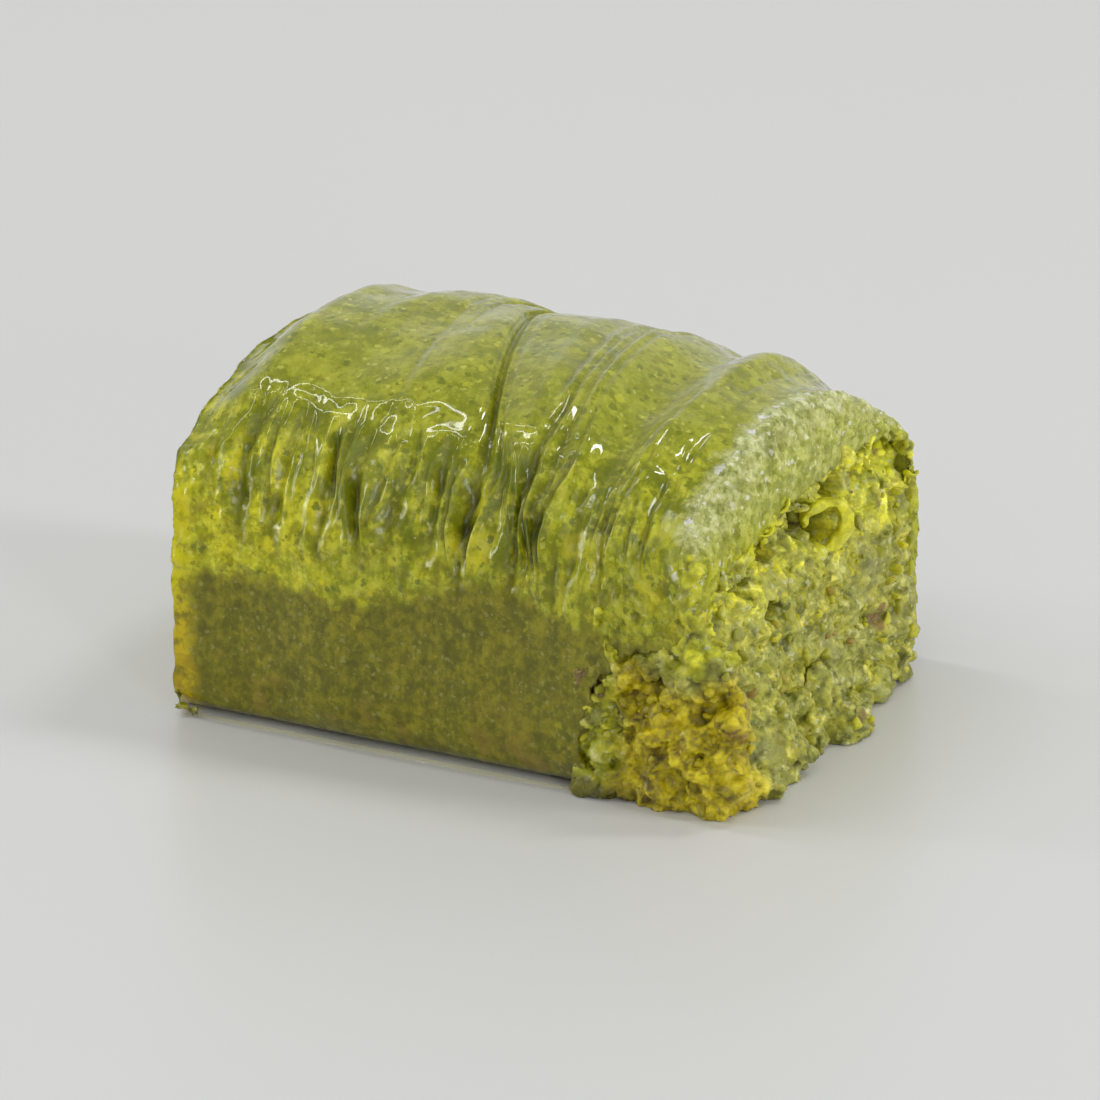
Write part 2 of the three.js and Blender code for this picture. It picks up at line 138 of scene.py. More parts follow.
# Thin creases beside the main folds: place, depth, height of the foot, share over the crest.
CREASES = [
    (-15.6, 0.40, 16.5, 0.0),
    (-13.2, 0.35, 17.5, 0.0),
    (-9.3, 0.40, 17.0, 0.1),
    (-5.9, 0.35, 16.5, 0.0),
    (0.6, 0.40, 16.0, 0.5),
    (2.9, 0.50, 15.0, 0.5),
    (5.3, 0.35, 16.0, 0.1),
    (7.3, 0.7, 14.8, 0.7),
    (9.2, 0.6, 16.0, 0.5),
    (13.4, 0.35, 17.0, 0.1),
    (17.0, 0.30, 18.0, 0.1),
]
DEEPEST_CREASE = 0.7

# Width of the sharp bottom, width of the broad dip, share of the sharp one, and height of the lips.
FOLD_PROFILE = (0.32, 0.95, 0.6, 0.3)
CREASE_PROFILE = (0.2, 0.45, 0.8, 0.5)

# Short wrinkles scattered over both flanks. Their slope has a mean and a spread.
WRINKLES = 70
WRINKLE_PLACES = (-21, 21)
WRINKLE_HEIGHTS = (15.5, 26.5)
WRINKLE_SLOPE = (0.05, 0.22)
WRINKLE_DEPTH = (0.12, 0.38)
WRINKLE_LENGTH = (1.2, 4.0)
WRINKLE_WIDTH = 0.2

# Soft relief of the dough: width, layers and seed of its swells, their height on the sides, and where calm.
PADS = (4.5, 1, 21, 0.3, 0.16)
SWELLS = ((3.4, 1.9, 1.0), 1, 23, 0.16, 0.06)
NUTS_BELOW = (1.3, 2, 11, 0.12, 0.008)
CALM_FROM = 22.0
CALM_CREST_FROM = 24.5
CALM_OVER = 3
SHOULDER_HEIGHT = 26.2

# Where the dough has crumbled above the torn corner and, less, at the left: along X, and how high up.
TORN_ZONE = (12.5, 17.0)
TORN_TOP = 20.0
WORN_ZONE = (-13.0, -19.0)
WORN_TOP = 23.0
WORN_SHARE = 0.5

# Broad hollows across the crest, and the swells between them: place, depth and width.
CREST_SAGS = [(-16.5, 0.3, 3.0), (1.8, 0.7, 2.0), (7.5, -0.2, 3.0), (12.9, 1.5, 1.8), (17.4, 0.1, 2.4)]

# How folds slant over the crest.
LEAN = 3.1
MAIN_LEAN = (3.6, 1.8, 4.0)  # how much more by the main fold, its place, and over what width
LEAN_FROM_Y = -15.0
LEAN_TO_Y = 6.0
LEAN_MIDDLE = 8.0
BACK_FADE = (8.0, 18.0, 0.7)  # from and to across the piece, and how much of it fades

UNEVENNESS = 0.28
SHOULDER_SWELL = (0.7, 22.0, 3.0, 4.0)  # rise, its height and spread, and where along X it starts

# The torn corner, and the filling spilled into it.
TEAR_CENTRE = (22.6, -18.4, 3.6)
TEAR_RADII = (9.4, 5.0, 10.0)
TEAR_POWER = 3.0
BED_CENTRE = (19.4, -15.6, 4.2)
BED_RADII = (6.2, 2.7, 8.8)
BED_POWER = 2.6
SPILL_FROM = (14.8, -17.6, 0.9)
SPILL_TO = (23.8, -16.4, 11.0)
SPILL_COLUMNS = 4
SPILL_ROWS = 4
SPILL_RADIUS = 1.75

# Single lumps beside the torn corner, and at the foot of the left front corner: place and radius.
SINGLE_LUMPS = [
    ((14.7, -19.1, 15.4), 0.95),
    ((15.6, -19.1, 12.8), 0.75),
    ((13.4, -19.1, 10.5), 0.75),
    ((12.8, -19.1, 9.5), 0.45),
    ((13.2, -18.8, 7.9), 0.7),
    ((14.0, -18.5, 6.2), 1.1),
    ((14.5, -18.5, 3.9), 1.2),
    ((-22.6, -18.9, 0.7), 0.7),
    ((-21.6, -19.0, 0.4), 0.45),
    ((-23.0, -18.6, 1.8), 0.5),
]

# Lumps along the frayed upright edge by the torn corner, and along the lip.
EDGE_LUMPS = 70
EDGE_LUMPS_FROM = (21.7, -17.6, 21.0)
EDGE_LUMPS_TO = (23.0, -18.2, 9.6)
EDGE_LUMPS_BOW = 0.35
EDGE_LUMP_RADII = (0.5, 1.05)
LIP_LUMPS = 60
LIP_LUMP_RADII = (0.25, 0.8)

# Clots slumped at the foot of each end: place across the piece, and reach beyond the cut.
RIGHT_SLUMPS = [
    (-16.0, 2.6),
    (-12.4, 3.1),
    (-9.2, 3.6),
    (-5.8, 2.4),
    (-2.4, 1.9),
    (1.4, 4.0),
    (5.2, 2.0),
    (9.8, 1.2),
    (14.6, 1.0),
]
LEFT_SLUMPS = [(-11.0, 0.9), (9.0, 0.9)]
CLOT_RADIUS = (1.3, 2.5)
CLOT_POWER = 2.4
SECOND_LEVEL = (2.7, 0.5, 1.2)  # how much higher, its share of the reach, and the least reach that has one

# The filling's ends, and the hollows in the rough one: y, z and radius.
RECESS = 1.7
RECESS_FROM = 11.0
FOOT_LEAN = 0.9
END_RELIEF = 0.3
HOLLOWS = [
    (-5.0, 17.8, 1.5),
    (1.2, 17.8, 1.4),
    (6.3, 18.8, 1.2),
    (-9.2, 15.8, 1.1),
    (-13.8, 17.0, 1.1),
    (-5.6, 12.6, 0.8),
    (4.0, 16.4, 1.4),
]
HOLLOW_DEPTH = 3.2

# Mesh steps.
SECTION_SAMPLES = 3000
WRAPPER_COLUMNS = 250
OVER_STEPS = 300
BASE_STEPS = 8
CUT_STEPS = (18, 30)  # left and right
END_CELLS = 96
WALL_ROWS = 8
CLOT_VOXEL = 0.22
FLOOR_GAP = 0.02

# Crumbs: radii in millimetres, and the ways in which the clots carry them.
LARGE_CRUMB = 0.4
FACE_CRUMBS = (420, 140)  # right and left end
CRUMB_RADII = (0.12, 0.5)
FUSED_CRUMB_RADII = (0.5, 1.5)
OUT_OF_CORNER = (0.3, -1, 0.2)
OUT_OF_BED = (0.8, -0.6, 0.1)
OUT_OF_RIGHT = (1, 0, 0.3)
OUT_OF_LEFT = (-1, 0, 0.3)

# The curled flake: place, width before it was bent, height, thickness, and how far it is bent, in radians.
CURL = ((22.3, 4.0, 16.4), 9.4, 1.1, 0.8, 4.9)
CURL_TURN = (2.4, -0.55)  # round its own axis, and of that axis towards the front
LIP_FLAKES = 12

# The film of syrup along the front foot: from and to along X, its inner edge, reach and height.
FILM_FROM = -22.8
FILM_TO = 15.0
FILM_INNER = -18.2
FILM_REACH = (0.4, 0.9)
FILM_HEIGHT = 0.16
FILM_STEPS = (220, 14)

# Colours by tone, dark to light: where on the ramp, then red, green and blue.
HANGING_TONES = [(0.33, 0.20, 0.225, 0.002), (0.5, 0.31, 0.33, 0.008), (0.67, 0.44, 0.45, 0.03)]
SOAKED_TONES = [(0.33, 0.115, 0.112, 0.001), (0.5, 0.175, 0.165, 0.002), (0.66, 0.28, 0.26, 0.008)]
BAND_TONES = [(0.2, 0.29, 0.32, 0.05), (0.5, 0.60, 0.63, 0.20), (0.8, 0.92, 0.94, 0.52)]
INNER_BAND_TONES = [(0.3, 0.36, 0.40, 0.01), (0.7, 0.66, 0.68, 0.04)]
LOW_BAND_TONES = [(0.3, 0.38, 0.40, 0.01), (0.7, 0.66, 0.66, 0.03)]
TORN_TONES = [(0.3, 0.14, 0.12, 0.004), (0.7, 0.34, 0.30, 0.01)]
GREEN_PASTE_TONES = [
    (0.22, 0.13, 0.14, 0.012),
    (0.4, 0.31, 0.32, 0.04),
    (0.6, 0.50, 0.50, 0.09),
    (0.78, 0.80, 0.79, 0.28),
]
GOLDEN_PASTE_TONES = [
    (0.22, 0.14, 0.10, 0.002),
    (0.4, 0.42, 0.33, 0.003),
    (0.58, 0.70, 0.57, 0.006),
    (0.78, 0.96, 0.82, 0.03),
]

# Colours of whole crumbs and flakes, by chance, written in the same way.
GREEN_CRUMB_TONES = [
    (0.0, 0.30, 0.30, 0.03),
    (0.3, 0.40, 0.40, 0.04),
    (0.65, 0.52, 0.51, 0.06),
    (0.94, 0.68, 0.64, 0.03),
    (1.0, 0.28, 0.14, 0.06),
]
GOLDEN_CRUMB_TONES = [
    (0.0, 0.28, 0.23, 0.006),
    (0.35, 0.44, 0.36, 0.006),
    (0.7, 0.58, 0.47, 0.008),
    (0.95, 0.74, 0.58, 0.012),
    (1.0, 0.30, 0.15, 0.03),
]
GREEN_FLAKE_TONES = [(0.0, 0.48, 0.52, 0.02), (0.5, 0.68, 0.68, 0.015), (1.0, 0.82, 0.78, 0.04)]
GOLDEN_FLAKE_TONES = [(0.0, 0.64, 0.60, 0.01), (1.0, 0.78, 0.70, 0.01)]

# Even numbers of the finishes.
WET_NUMBERS = {
    "Roughness": 0.45,
    "Specular IOR Level": 0.1,
    "IOR": 1.45,
    "Coat Weight": 1.0,
    "Coat IOR": 1.4,
    "Subsurface Radius": (1.0, 0.8, 0.15),
}
SYRUP_NUMBERS = {
    "Base Color": (0.78, 0.77, 0.58, 1.0),
    "Roughness": 0.04,
    "Specular IOR Level": 1.0,
    "Alpha": 0.45,
}
FLOOR_NUMBERS = {"Base Color": (0.66, 0.66, 0.65, 1.0), "Roughness": 0.35}
FLOOR_HALF = 3.0

# Softboxes: name, direction from the piece, distance, width, height and radiance.
SOFTBOXES = [
    ("overhead strip", (-0.444, -0.005, 0.895), 0.9, 0.03, 0.70, 18.0),
    ("lower strip", (-0.444, -0.30, 0.84), 0.9, 0.03, 0.50, 16.0),
    ("strip over the cut", (0.33, 0.36, 0.87), 0.9, 0.05, 0.22, 36.0),
    ("left softbox", (-0.93, -0.30, 0.20), 1.2, 0.12, 0.50, 16.0),
    ("front right softbox", (0.75, -0.62, 0.26), 1.2, 0.12, 0.40, 14.0),
    ("front softbox", (0.2, -0.7, 0.7), 1.5, 1.2, 1.2, 0.9),
    ("right softbox", (0.92, 0.20, 0.35), 1.0, 0.18, 0.30, 18.0),
]
ZENITH_LIGHT = 0.3
HORIZON_LIGHT = 0.33
GLOW_LIGHT = 0.4
GLOW_WAY = (-0.44, 0.86, 0.2)

CAMERA_AZIMUTH = 28.4
CAMERA_ELEVATION = 21.0
CAMERA_DISTANCE = 1.298
AIM_HEIGHT = 14.75  # of the middle of the roll
AIM_BELOW = 2.9  # how far below that the frame's middle lies, across the line of sight
LENS = 540.0
SENSOR = 36.0

# How many numbers 32 bits hold, for the repeatable draws.
WORD = 2**32


# ---------------------------------------------------------------- numbers and noise

def clamp01(t):
    return np.clip(t, 0.0, 1.0)


def smooth(t):
    t = clamp01(t)
    return t * t * (3 - 2 * t)


def lerp(a, b, t):
    return a + (b - a) * t


def signed_power(value, power):
    return np.sign(value) * np.abs(value) ** power


def drawer(seed):
    """A repeatable draw from 0 to 1."""
    state = seed

    def draw():
        nonlocal state
        state = (state * 1664525 + 1013904223) % WORD
        return state / WORD

    return draw


def cell_draw(ix, iy, iz, seed):
    """A repeatable draw from 0 to 1 for each whole-number cell."""
    mixed = (ix * 374761393 + iy * 668265263 + iz * 2246822519 + seed * 3266489917) & (WORD - 1)
    mixed = ((mixed ^ (mixed >> 13)) * 1274126177) & (WORD - 1)
    return (mixed ^ (mixed >> 16)) / WORD


def soft_noise(points, size, seed):
    """Smooth noise from -1 to 1 whose swells are about as wide as size, which may differ by axis."""
    scaled = points / np.asarray(size, float)
    cell = np.floor(scaled).astype(np.int64)
    t = scaled - cell
    t = t * t * t * (t * (t * 6 - 15) + 10)
    total = np.zeros(points.shape[:-1])
    for corner in itertools.product((0, 1), repeat=3):
        weight = np.prod(np.where(corner, t, 1 - t), axis=-1)
        total += weight * cell_draw(*np.moveaxis(cell + corner, -1, 0), seed)
    return 2 * total - 1


def layered_noise(points, size, octaves, seed):
    """Noise in halving sizes, about -1 to 1."""
    size = np.asarray(size, float)
    layers = [soft_noise(points, size / 2**k, seed + k) / 2**k for k in range(octaves)]
    return sum(layers) / (2 - 2 ** (1 - octaves))


def chips(points, size, seed):
    """A broken surface, where each chip is a facet with its own level and tilt: height about -1 to 1, the
    tone of the chip from 0 to 1, and the nearness to a seam from 0 to 1."""
    scaled = points / np.asarray(size, float)
    cell = np.floor(scaled).astype(np.int64)
    nearest = np.full(points.shape[:-1], 9.0)
    second = nearest.copy()
    height = np.zeros(points.shape[:-1])
    tone = height.copy()
    for step in itertools.product((-1, 0, 1), repeat=3):
        other = cell + step
        parts = np.moveaxis(other, -1, 0)
        away = scaled - other - np.stack([cell_draw(*parts, seed + k) for k in range(3)], axis=-1)
        distance = np.linalg.norm(away, axis=-1)
        tilt = np.stack([cell_draw(*parts, seed + 3 + k) for k in range(3)], axis=-1) - 0.5
        level = 2 * cell_draw(*parts, seed + 6) - 1
        closer = distance < nearest
        second = np.where(closer, nearest, np.minimum(second, distance))
        height = np.where(closer, 0.7 * level + 2.2 * np.sum(tilt * away, axis=-1), height)
        tone = np.where(closer, cell_draw(*parts, seed + 7), tone)
        nearest = np.minimum(nearest, distance)
    return height, tone, 1 - smooth((second - nearest) / 0.3)


def warped(points, size, reach, seed):
    """Points pushed about, so that what is drawn on them has uneven outlines."""
    moved = [layered_noise(points, size, 2, seed + 5 * k) for k in range(3)]
    return points + reach * np.stack(moved, axis=-1)


def crumbly(points, seed, size=1.0):
    """Chopped nut in paste: relief in millimetres, the tone of its chips, and how deep each place lies."""
    moved = warped(points, 1.1 * size, 0.5 * size, seed)
    clumps = layered_noise(points, 3.4 * size, 3, seed + 31)
    coarse, coarse_tone, coarse_seam = chips(moved, 1.6 * size, seed + 41)
    fine, fine_tone, fine_seam = chips(moved, 0.7 * size, seed + 51)
    relief = 0.45 * clumps + 0.2 * coarse + 0.14 * fine - 0.1 * coarse_seam - 0.06 * fine_seam
    tone = 0.5 * coarse_tone + 0.5 * fine_tone
    # How deep each place lies; the finishes darken it as painted shade.
    deep = clamp01(-0.1 - 0.9 * relief + 0.2 * coarse_seam)
    return size * relief, tone, deep


def ridges(points, size, octaves, seed, width):
    """Thin raised lines where soft noise crosses nought, 0 to 1."""
    return clamp01(1 - np.abs(layered_noise(points, size, octaves, seed)) / width)


# ---------------------------------------------------------------- the roll's shape

def cross_section(half_width, crest, base, arch_power, tilt, corners=None):
    """A closed outline (y, z, normal y, normal z): up the +Y side, over the arch, down the -Y side and along
    the flat base. With corners, it has that many even steps to each of its four sides."""
    angle = -np.pi / 2 + 2 * np.pi * np.arange(SECTION_SAMPLES + 1) / SECTION_SAMPLES
    across, up = np.cos(angle), np.sin(angle)
    power = np.where(up >= 0, arch_power, CORNER_POWER)
    reach = np.where(up >= 0, crest - SPRING_HEIGHT, SPRING_HEIGHT - base + BASE_FLATTENING)
    y = half_width * signed_power(across, 2 / power)
    z = SPRING_HEIGHT + reach * signed_power(up, 2 / power) + tilt * y * np.maximum(0, up) / HALF_WIDTH
    above = z > base
    y, z, angle = y[above], z[above], angle[above]
    z[0] = z[-1] = base
    travel = np.concatenate([[0], np.cumsum(np.hypot(np.diff(y), np.diff(z)))])
    if corners is None:
        even = np.linspace(0, travel[-1], OVER_STEPS + 1)
        base_steps = BASE_STEPS
    else:
        turns = np.interp([np.pi / 4, 3 * np.pi / 4], angle, travel)
        stops = [0, turns[0], turns[1], travel[-1]]
        sides = [np.linspace(a, b, corners, endpoint=False) for a, b in zip(stops, stops[1:])]
        even = np.concatenate([*sides, [travel[-1]]])
        base_steps = corners
    share = np.arange(1, base_steps) / base_steps
    ring_y = np.concatenate([np.interp(even, travel, y), lerp(y[-1], y[0], share)])
    ring_z = np.concatenate([np.interp(even, travel, z), np.full(base_steps - 1, base)])
    along_y = np.roll(ring_y, -1) - np.roll(ring_y, 1)
    along_z = np.roll(ring_z, -1) - np.roll(ring_z, 1)
    length = np.hypot(along_y, along_z)
    return ring_y, ring_z, along_z / length, -along_y / length


def inner_section(corners=None):
    """The outline of the wrapper's inside, which the filling shares."""
    width = HALF_WIDTH - SIDE_SKIN
    return cross_section(width, FILLING_HEIGHT, BASE_SKIN, INNER_ARCH_POWER, FILLING_TILT, corners)


def crest_share(z):
    return smooth((z - SPRING_HEIGHT) / (HEIGHT - SPRING_HEIGHT)) ** 2


def crossing_share(z, over):
    return lerp(1, over, smooth((z - CREST_FROM) / (CREST_TO - CREST_FROM)))


def valleys(u, z, lines, profile):
    """Summed depth of folds or creases: a sharp bottom in a broader dip between raised lips, which swells and
    fades on the way up."""
    sharp, broad, share, lips = profile
    depth = 0
    for k, (at, deep, foot, over) in enumerate(lines):
        risen = smooth((z - foot) / FOLD_RISE)
        swell = 0.8 + 0.3 * np.sin(0.9 * z + 2.1 * k) + 0.15 * np.sin(2.3 * z + k)
        wander = 0.3 * np.sin(0.45 * z + 1.7 * k)
        away = np.abs(u - at - wander)
        dip = share * np.exp(-away / sharp) + (1 - share) * np.exp(-((away / broad) ** 2))
        lip = lips * np.exp(-(((away - broad) / (0.5 * broad)) ** 2))
        depth = depth + deep * risen * swell * crossing_share(z, over) * (dip - lip)
    return depth


def fold_depth(u, z):
    return np.minimum(valleys(u, z, FOLDS, FOLD_PROFILE), DEEPEST_FOLD)


def crease_depth(u, z):
    return np.minimum(valleys(u, z, CREASES, CREASE_PROFILE), DEEPEST_CREASE)


def wrinkles(u, y, z):
    """Short, thin wrinkles on the flanks, mostly upright."""
    rng = np.random.default_rng(41)
    depth = 0
    for _ in range(WRINKLES):
        at, height = rng.uniform(*WRINKLE_PLACES), rng.uniform(*WRINKLE_HEIGHTS)
        slope, length = rng.normal(*WRINKLE_SLOPE), rng.uniform(*WRINKLE_LENGTH)
        deep, side = rng.uniform(*WRINKLE_DEPTH), rng.choice((-1, 1))
        away = u - at - slope * (z - height)
        along = np.exp(-(((z - height) / length) ** 4))
        depth = depth + deep * along * np.exp(-np.abs(away) / WRINKLE_WIDTH) * (np.sign(y) == side)
    return depth


def unevenness(u, y, z):
    long = np.sin(0.31 * u + 0.9) * np.cos(0.17 * y + 0.4)
    short = 0.6 * np.sin(0.53 * u - 0.23 * y + 2.1)
    sag = sum(depth * np.exp(-(((u - at) / width) ** 2)) for at, depth, width in CREST_SAGS)
    rise, at, width, start = SHOULDER_SWELL
    swell = rise * np.exp(-(((z - at) / width) ** 2)) * smooth((u - start) / 5) * (y < 0)
    return UNEVENNESS * smooth(z / 3) * (long + short) + swell - crest_share(z) * sag


def soak_line(u):
    rise = SOAK_RISE * np.exp(-(((u - SOAK_RISE_AT) / SOAK_RISE_WIDTH) ** 2))
    lift = sum(SOAK_LIFT * np.exp(-np.abs(u - fold[0]) / SOAK_LIFT_WIDTH) for fold in FOLDS)
    drift = np.broadcast_to(u[..., None], (*np.shape(u), 3)) + (0, 3.7, 9.1)
    ragged = 0.55 * layered_noise(drift, 2.8, 3, 15)
    base = SOAK_HEIGHT + SOAK_TILT * u / HALF_LENGTH + SOAK_SWING * np.sin(0.29 * u + 0.6)
    return base + rise + np.minimum(lift, SOAK_LIFT) + ragged


def fold_shift(u, y, z):
    """How far folds are carried along X: swaying on the sides, slanting over the crest."""
    extra, at, spread = MAIN_LEAN
    main = extra * np.exp(-(((u - at) / spread) ** 2))
    fade_from, fade_to, fade = BACK_FADE
    back = 1 - fade * smooth((y - fade_from) / (fade_to - fade_from))
    over = back * clamp01((y - LEAN_FROM_Y) / (LEAN_TO_Y - LEAN_FROM_Y))
    middle = 1 - smooth((np.abs(u) - LEAN_MIDDLE) / LEAN_MIDDLE)
    sway = FOLD_SWAY * np.sin(0.5 * z + 0.8 * u)
    return (sway - (LEAN + main) * over) * middle * smooth((z - SOAK_HEIGHT) / 8)


def crumbled_share(u, y, z):
    """How far the front of the dough has crumbled: above the torn corner and, less, at the left."""
    torn_from, torn_to = TORN_ZONE
    worn_from, worn_to = WORN_ZONE
    torn = smooth((u - torn_from) / (torn_to - torn_from)) * smooth((TORN_TOP - z) / 3)
    worn = smooth((u - worn_from) / (worn_to - worn_from)) * smooth((WORN_TOP - z) / 3)
    return (torn + WORN_SHARE * worn) * (y < 0)


def swells(points, kind, calm):
    """One kind of soft relief, lower where calm is 1."""
    width, layers, seed, height, calm_height = kind
    return layered_noise(points, width, layers, seed) * lerp(height, calm_height, calm)


def film_relief(u, y, z, travel, above, sunk):
    """Fine relief of the thin dough over the ground nuts. travel is the way round the roll, above the height
    over the syrup line, and sunk the depth of creases and wrinkles."""
    place = np.stack(np.broadcast_arrays(u, y, z), axis=-1)
    round_roll = np.stack(np.broadcast_arrays(u, travel, 0.0), axis=-1)
    moved = warped(round_roll, 3.0, 0.7, 65)
    calm = smooth((z - CALM_FROM) / CALM_OVER)
    calm_crest = smooth((z - CALM_CREST_FROM) / CALM_OVER)
    soft = swells(place, PADS, calm_crest) + swells(moved, SWELLS, calm) + swells(place, NUTS_BELOW, calm)
    bundles = smooth(0.45 + 1.1 * layered_noise(round_roll, (6.0, 8.0, 1.0), 1, 61))
    wrinkled = ridges(moved, (1.8, 9.0, 1.0), 2, 31, 0.3) * bundles * lerp(0.2, 0.0, calm)
    crimped = ridges(moved, (1.1, 3.0, 1.0), 1, 35, 0.4) * lerp(0.06, 0.0, calm)
    shoulder = np.exp(-(((z - SHOULDER_HEIGHT) / 1.3) ** 2)) * (1 - smooth((np.abs(u) - 18) / 3))
    curls = 0.12 * shoulder * np.exp(-((layered_noise(moved, (6.5, 1.6, 1.0), 1, 51) / 0.38) ** 2))
    drops = 0.05 * np.exp(-(((above - 0.9) / 0.8) ** 2))
    grains = crumbly(place, 171, 0.5)[0]
    film = soft + lerp(0.35, 0.0, calm) * grains + wrinkled + crimped + curls + drops - sunk
    crumbled = 0.2 + 1.2 * crumbly(place, 141)[0] + 1.2 * grains
    soaked = 0.1 * layered_noise(place, 2.2, 3, 71)
    folded = smooth(above / SOAK_STEP_OVER)
    return folded * lerp(film, crumbled, crumbled_share(u, y, z)) + (1 - folded) * soaked


def outer_face(u, ring, end_x):
    """The wrapper's outer face: a row of points for each place u along the roll."""
    ring_y, ring_z, normal_y, normal_z = ring
    travel = np.cumsum(np.hypot(np.diff(ring_y, prepend=ring_y[0]), np.diff(ring_z, prepend=ring_z[0])))
    depth = np.where(u < 0, *DROP_DEPTH)
    length = np.where(u < 0, *DROP_LENGTH)
    felt = smooth((np.abs(u) - SETBACK_FELT_FROM) / (HALF_LENGTH - SETBACK_FELT_FROM))
    setback = (end_x - np.sign(u) * HALF_LENGTH) * felt
    drop = depth * smooth((np.abs(u) - (HALF_LENGTH - length)) / length) * crest_share(ring_z)
    above = ring_z - soak_line(u)
    folds = fold_depth(u, ring_z)
    sunk = crease_depth(u, ring_z) + wrinkles(u, ring_y, ring_z)
    outwards = unevenness(u, ring_y, ring_z) + SOAK_STEP * smooth(above / SOAK_STEP_OVER) - folds
    outwards = outwards + smooth(ring_z / 1.5) * film_relief(u, ring_y, ring_z, travel, above, sunk)
    x = u + fold_shift(u, ring_y, ring_z) + setback
    y = ring_y + normal_y * outwards
    z = np.maximum(0, ring_z + normal_z * outwards - drop)
    marks = {
        "film": 1.0,
        "crease": clamp01(0.7 * folds + 1.2 * sunk),
        "above": above,
        "edge": HALF_LENGTH - np.abs(u),
        "along": u * MM,
        "round": travel * MM,
        "tone": 0.5,
        "deep": 0.0,
    }
    marks = {name: np.broadcast_to(values, x.shape) for name, values in marks.items()}
    return np.stack([x, y, z], axis=-1), marks


def strip_faces(rows, steps, closed):
    """Quads between rows of a ring; the rows close on themselves or not."""
    i = np.arange(rows if closed else rows - 1)[:, None]
    j = np.arange(steps)[None, :]
    after_i = (i + 1) % rows
    after_j = (j + 1) % steps
    corners = [i * steps + j, i * steps + after_j, after_i * steps + after_j, after_i * steps + j]
    return np.stack(np.broadcast_arrays(*corners), axis=-1).reshape(-1, 4)


def ragged_end(side, setback, crest_setback, ring):
    """Where the outer edge of a cut lies along X, for each point of the ring."""
    ragged = 0.4 * layered_noise(ring + (40 * side, 0, 0), 2.2, 3, 5)
    share = smooth((ring[:, 2] - SETBACK_FROM) / (SETBACK_TO - SETBACK_FROM))
    return side * (HALF_LENGTH - lerp(setback, crest_setback, share)) + ragged


def lip_of_cut(side, ring, inner):
    """The inner edge of a cut, frayed, and sagging towards the long side with the torn corner."""
    sag, sag_from, sag_over = LIP_SAG
    frayed = layered_noise(ring + (80 * side, 0, 0), 1.8, 3, 9)
    upper = smooth((inner[1] - 9) / 6)
    drop = upper * (sag * smooth((sag_from - inner[0]) / sag_over) + 0.9 * frayed)
    return np.stack([side * (HALF_LENGTH - 0.5 * np.abs(frayed)), inner[0], inner[1] - drop], axis=-1)


def band_of_cut(side, edge, lip):
    """The rounded, crumbly band between the outer edge and the lip: its rows and their marks."""
    steps = CUT_STEPS[side > 0]
    turn = 0.5 * np.pi * (np.arange(1, steps) / steps)[:, None]
    shares = (np.sin(turn), 1 - np.cos(turn), 1 - np.cos(turn))
    rows = np.stack([lerp(edge[:, k], lip[:, k], share) for k, share in enumerate(shares)], axis=-1)
    relief, tone, deep = crumbly(rows, 90 + 10 * side, 0.5)
    swell = 0.3 * layered_noise(rows, 3.0, 2, 97)
    rough = (CUT_SWELL + (swell + 1.2 * relief) * CUT_ROUGHNESS[side > 0]) * np.sin(2 * turn) ** 0.4
    rows[..., 0] += side * rough * np.sin(turn) ** 0.5
    rows[..., 2] += rough * np.cos(turn) * np.sign(edge[:, 2] - SPRING_HEIGHT)
    marks = {"edge": np.broadcast_to(-1 - np.sin(turn), tone.shape), "tone": tone, "deep": deep}
    return rows[::side], {**CUT_MARKS, **{name: values[::side] for name, values in marks.items()}}


def wrapper_shape():
    """The sleeve of dough: its outer face, its two rough cut edges and its plain inside."""
    outer = cross_section(HALF_WIDTH, HEIGHT, 0, ARCH_POWER, 0)
    inner = inner_section()
    ring = np.stack([np.zeros_like(outer[0]), outer[0], outer[1]], axis=-1)
    ends = [ragged_end(*numbers, ring) for numbers in zip((-1, 1), EDGE_SETBACK, CREST_SETBACK)]
    u = np.linspace(-HALF_LENGTH, HALF_LENGTH, WRAPPER_COLUMNS)[:, None]
    face, face_marks = outer_face(u, outer, np.where(u < 0, *ends))
    right_lip, left_lip = lip_of_cut(1, ring, inner), lip_of_cut(-1, ring, inner)
    strips = [
        (face, face_marks),
        band_of_cut(1, face[-1], right_lip),
        (np.stack([right_lip, left_lip]), LIP_MARKS),
        band_of_cut(-1, face[0], left_lip),
    ]
    rows = np.concatenate([strip for strip, _ in strips])
    rows[..., 2] = np.maximum(rows[..., 2], 0)
    marks = {}
    for name in face_marks:
        parts = [np.broadcast_to(strip_marks[name], strip.shape[:2]) for strip, strip_marks in strips]
        marks[name] = np.concatenate(parts)
    return rows.reshape(-1, 3), strip_faces(*rows.shape[:2], True), marks, right_lip


# ---------------------------------------------------------------- the filling's shape

def end_of_filling(side, y, z):
    """Where an end of the filling lies, as in the solids."""
    recess = RECESS * smooth((z - RECESS_FROM) / (FILLING_HEIGHT - RECESS_FROM))
    foot = FOOT_LEAN * smooth((RECESS_FROM - z) / RECESS_FROM)
    coarse = np.sin(0.9 * y + 1.3 * z) * np.sin(0.8 * z - 0.5 * y + side)
    fine = np.sin(2.3 * y + 1.1 * z) * np.sin(1.9 * z - 1.3 * y + side)
    return side * (HALF_LENGTH - recess + foot + END_RELIEF * (coarse + fine))


